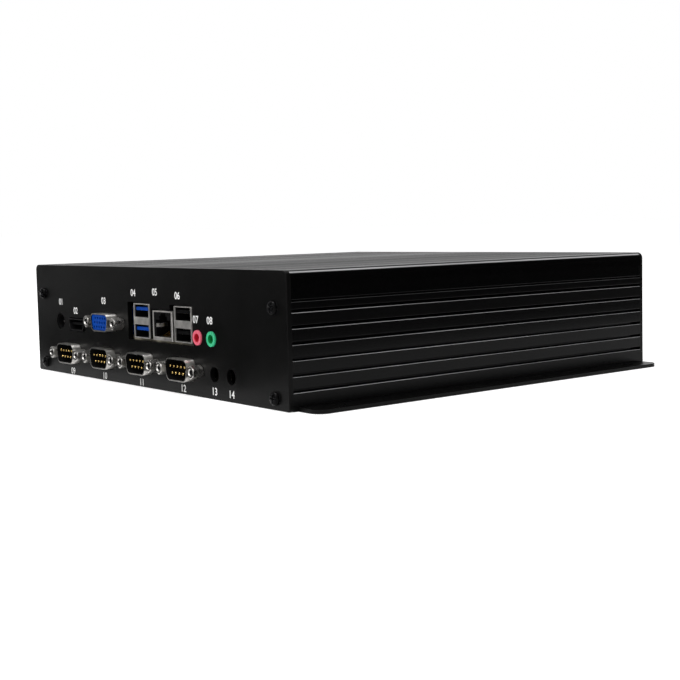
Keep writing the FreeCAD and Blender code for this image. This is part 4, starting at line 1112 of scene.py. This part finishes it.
class COUNTER_OT_studio(Operator):
    """Sets up the pale floor, the soft light and the camera"""

    bl_idname = "counter_computer.studio"
    bl_label = "Studio"

    def execute(self, context):
        studio = settings_of(context).studio
        context.scene.view_settings.view_transform = "Standard"
        self.room(context, studio)
        self.floor(studio)
        self.cards()
        self.lamps(context, studio)
        self.camera(context, studio)
        return {"FINISHED"}

    def seen(self, tree):
        """1 for a ray that shows the background: from the camera, mirrored or through glass."""
        path = tree.add("LightPath")
        mirrored = tree.maths("MAXIMUM", path["Is Camera Ray"], path["Is Glossy Ray"])
        return tree.maths("MAXIMUM", mirrored, path["Is Transmission Ray"])

    def room(self, context, studio):
        """White room that lights the object evenly."""
        world = bpy.data.worlds.new("White Room")
        context.scene.world = world
        world.use_nodes = True
        tree = Recipe(world.node_tree)
        strength = tree.between(self.seen(tree), studio.room_tone, 1.0)
        background = world.node_tree.nodes["Background"].inputs
        tree.feed(background, {"Color": WHITE, "Strength": strength})

    def floor(self, studio):
        """Pale floor that keeps the object's shadow."""
        mesh = bmesh.new()
        bmesh.ops.create_grid(mesh, x_segments=1, y_segments=1, size=FLOOR_HALF)
        ground = to_object("studio_floor", mesh)
        ground.location.z = -FLOOR_DROP
        look = Finish("Pale Floor", roughness=0.9, specular_ior_level=0.0, emission_color=WHITE)
        clouds = look.noise(look.place(), 6.0)
        look.cover(
            base_color=look.uneven(clouds, (studio.floor_tone,) * 3, 1.0, 1.02),
            emission_strength=look.between(self.seen(look), 0.0, FLOOR_GLOW),
        )
        ground.data.materials.append(look.material)

    def cards(self):
        """Dark cards that only reflections see, so that black and bright metal keep contrast."""
        look = Finish("Dark Card", roughness=1.0, specular_ior_level=0.0)
        clouds = look.noise(look.place(), 4.0)
        look.cover(base_color=look.uneven(clouds, (0.01,) * 3, 1.0, 2.0))
        for name, corners in CARDS.items():
            mesh = bmesh.new()
            first, second, third = map(Vector, corners)
            corners = (first, second, third, first - second + third)
            mesh.faces.new([mesh.verts.new(corner) for corner in corners])
            card = to_object(name, mesh)
            card.data.materials.append(look.material)
            card.visible_camera = card.visible_diffuse = False
            card.visible_shadow = card.visible_transmission = False

    def lamps(self, context, studio):
        """Softboxes that all point at the middle of the object."""
        middle = (CAD_BOX[0] + CAD_BOX[1]) / 2
        for name, (power, size, place, lights_matt) in SOFTBOXES.items():
            data = bpy.data.lights.new(name, "AREA")
            data.energy, data.size = getattr(studio, power), size
            lamp = bpy.data.objects.new(name, data)
            context.scene.collection.objects.link(lamp)
            lamp.location = place
            lamp.rotation_euler = (middle - Vector(place)).to_track_quat("-Z", "Y").to_euler()
            lamp.visible_diffuse = lights_matt

    def camera(self, context, studio):
        """Camera at the picture's place, aimed and framed as the picture is."""
        yaw, pitch, roll = studio.camera_yaw, studio.camera_pitch, studio.camera_roll
        level_ahead = Vector((-math.sin(yaw), math.cos(yaw), 0.0))
        ahead = math.cos(pitch) * level_ahead - math.sin(pitch) * Z_AXIS
        level = Vector((math.cos(yaw), math.sin(yaw), 0.0))
        upright = level.cross(ahead)
        right = math.cos(roll) * level + math.sin(roll) * upright
        up = -math.sin(roll) * level + math.cos(roll) * upright
        data = bpy.data.cameras.new("counter_camera")
        data.lens = studio.focal_pixels / studio.picture_pixels * data.sensor_width
        data.shift_x = 0.5 - studio.centre_x / studio.picture_pixels
        data.shift_y = studio.centre_y / studio.picture_pixels - 0.5
        data.clip_start = 0.01
        eye = bpy.data.objects.new("counter_camera", data)
        context.scene.collection.objects.link(eye)
        turn = Matrix((right, up, -ahead)).transposed().to_4x4()
        eye.matrix_world = Matrix.Translation(studio.camera_place) @ turn
        context.scene.camera = eye


OPERATORS = (
    COUNTER_OT_case,
    COUNTER_OT_case_screws,
    COUNTER_OT_port_numbers,
    COUNTER_OT_jack_screws,
    COUNTER_OT_serial_ports,
    COUNTER_OT_video_ports,
    COUNTER_OT_stacked_ports,
    COUNTER_OT_network_jack,
    COUNTER_OT_round_jacks,
    COUNTER_OT_power_switch,
    COUNTER_OT_inner_parts,
    COUNTER_OT_studio,
)


class COUNTER_PT_panel(Panel):
    """Lists the settings and the steps of the counter computer"""

    bl_idname = "COUNTER_PT_panel"
    bl_label = "Counter Computer"
    bl_space_type = "VIEW_3D"
    bl_region_type = "UI"
    bl_category = "Counter Computer"

    def draw(self, context):
        settings = settings_of(context)
        for group in (settings.colours, settings.print_sizes, settings.studio):
            box = self.layout.box()
            for name in group.__annotations__:
                box.prop(group, name)
        for operator in OPERATORS:
            self.layout.operator(operator.bl_idname)


CLASSES = (
    CaseColours, PrintSizes, StudioSettings, CounterComputer, *OPERATORS, COUNTER_PT_panel,
)


def register():
    for item in CLASSES:
        bpy.utils.register_class(item)
    bpy.types.Scene.counter_computer = PointerProperty(type=CounterComputer)


def unregister():
    del bpy.types.Scene.counter_computer
    for item in reversed(CLASSES):
        bpy.utils.unregister_class(item)


def main():
    """Runs every step in order."""
    register()
    for operator in OPERATORS:
        group, name = operator.bl_idname.split(".")
        getattr(getattr(bpy.ops, group), name)()


if __name__ == "__main__":
    main()
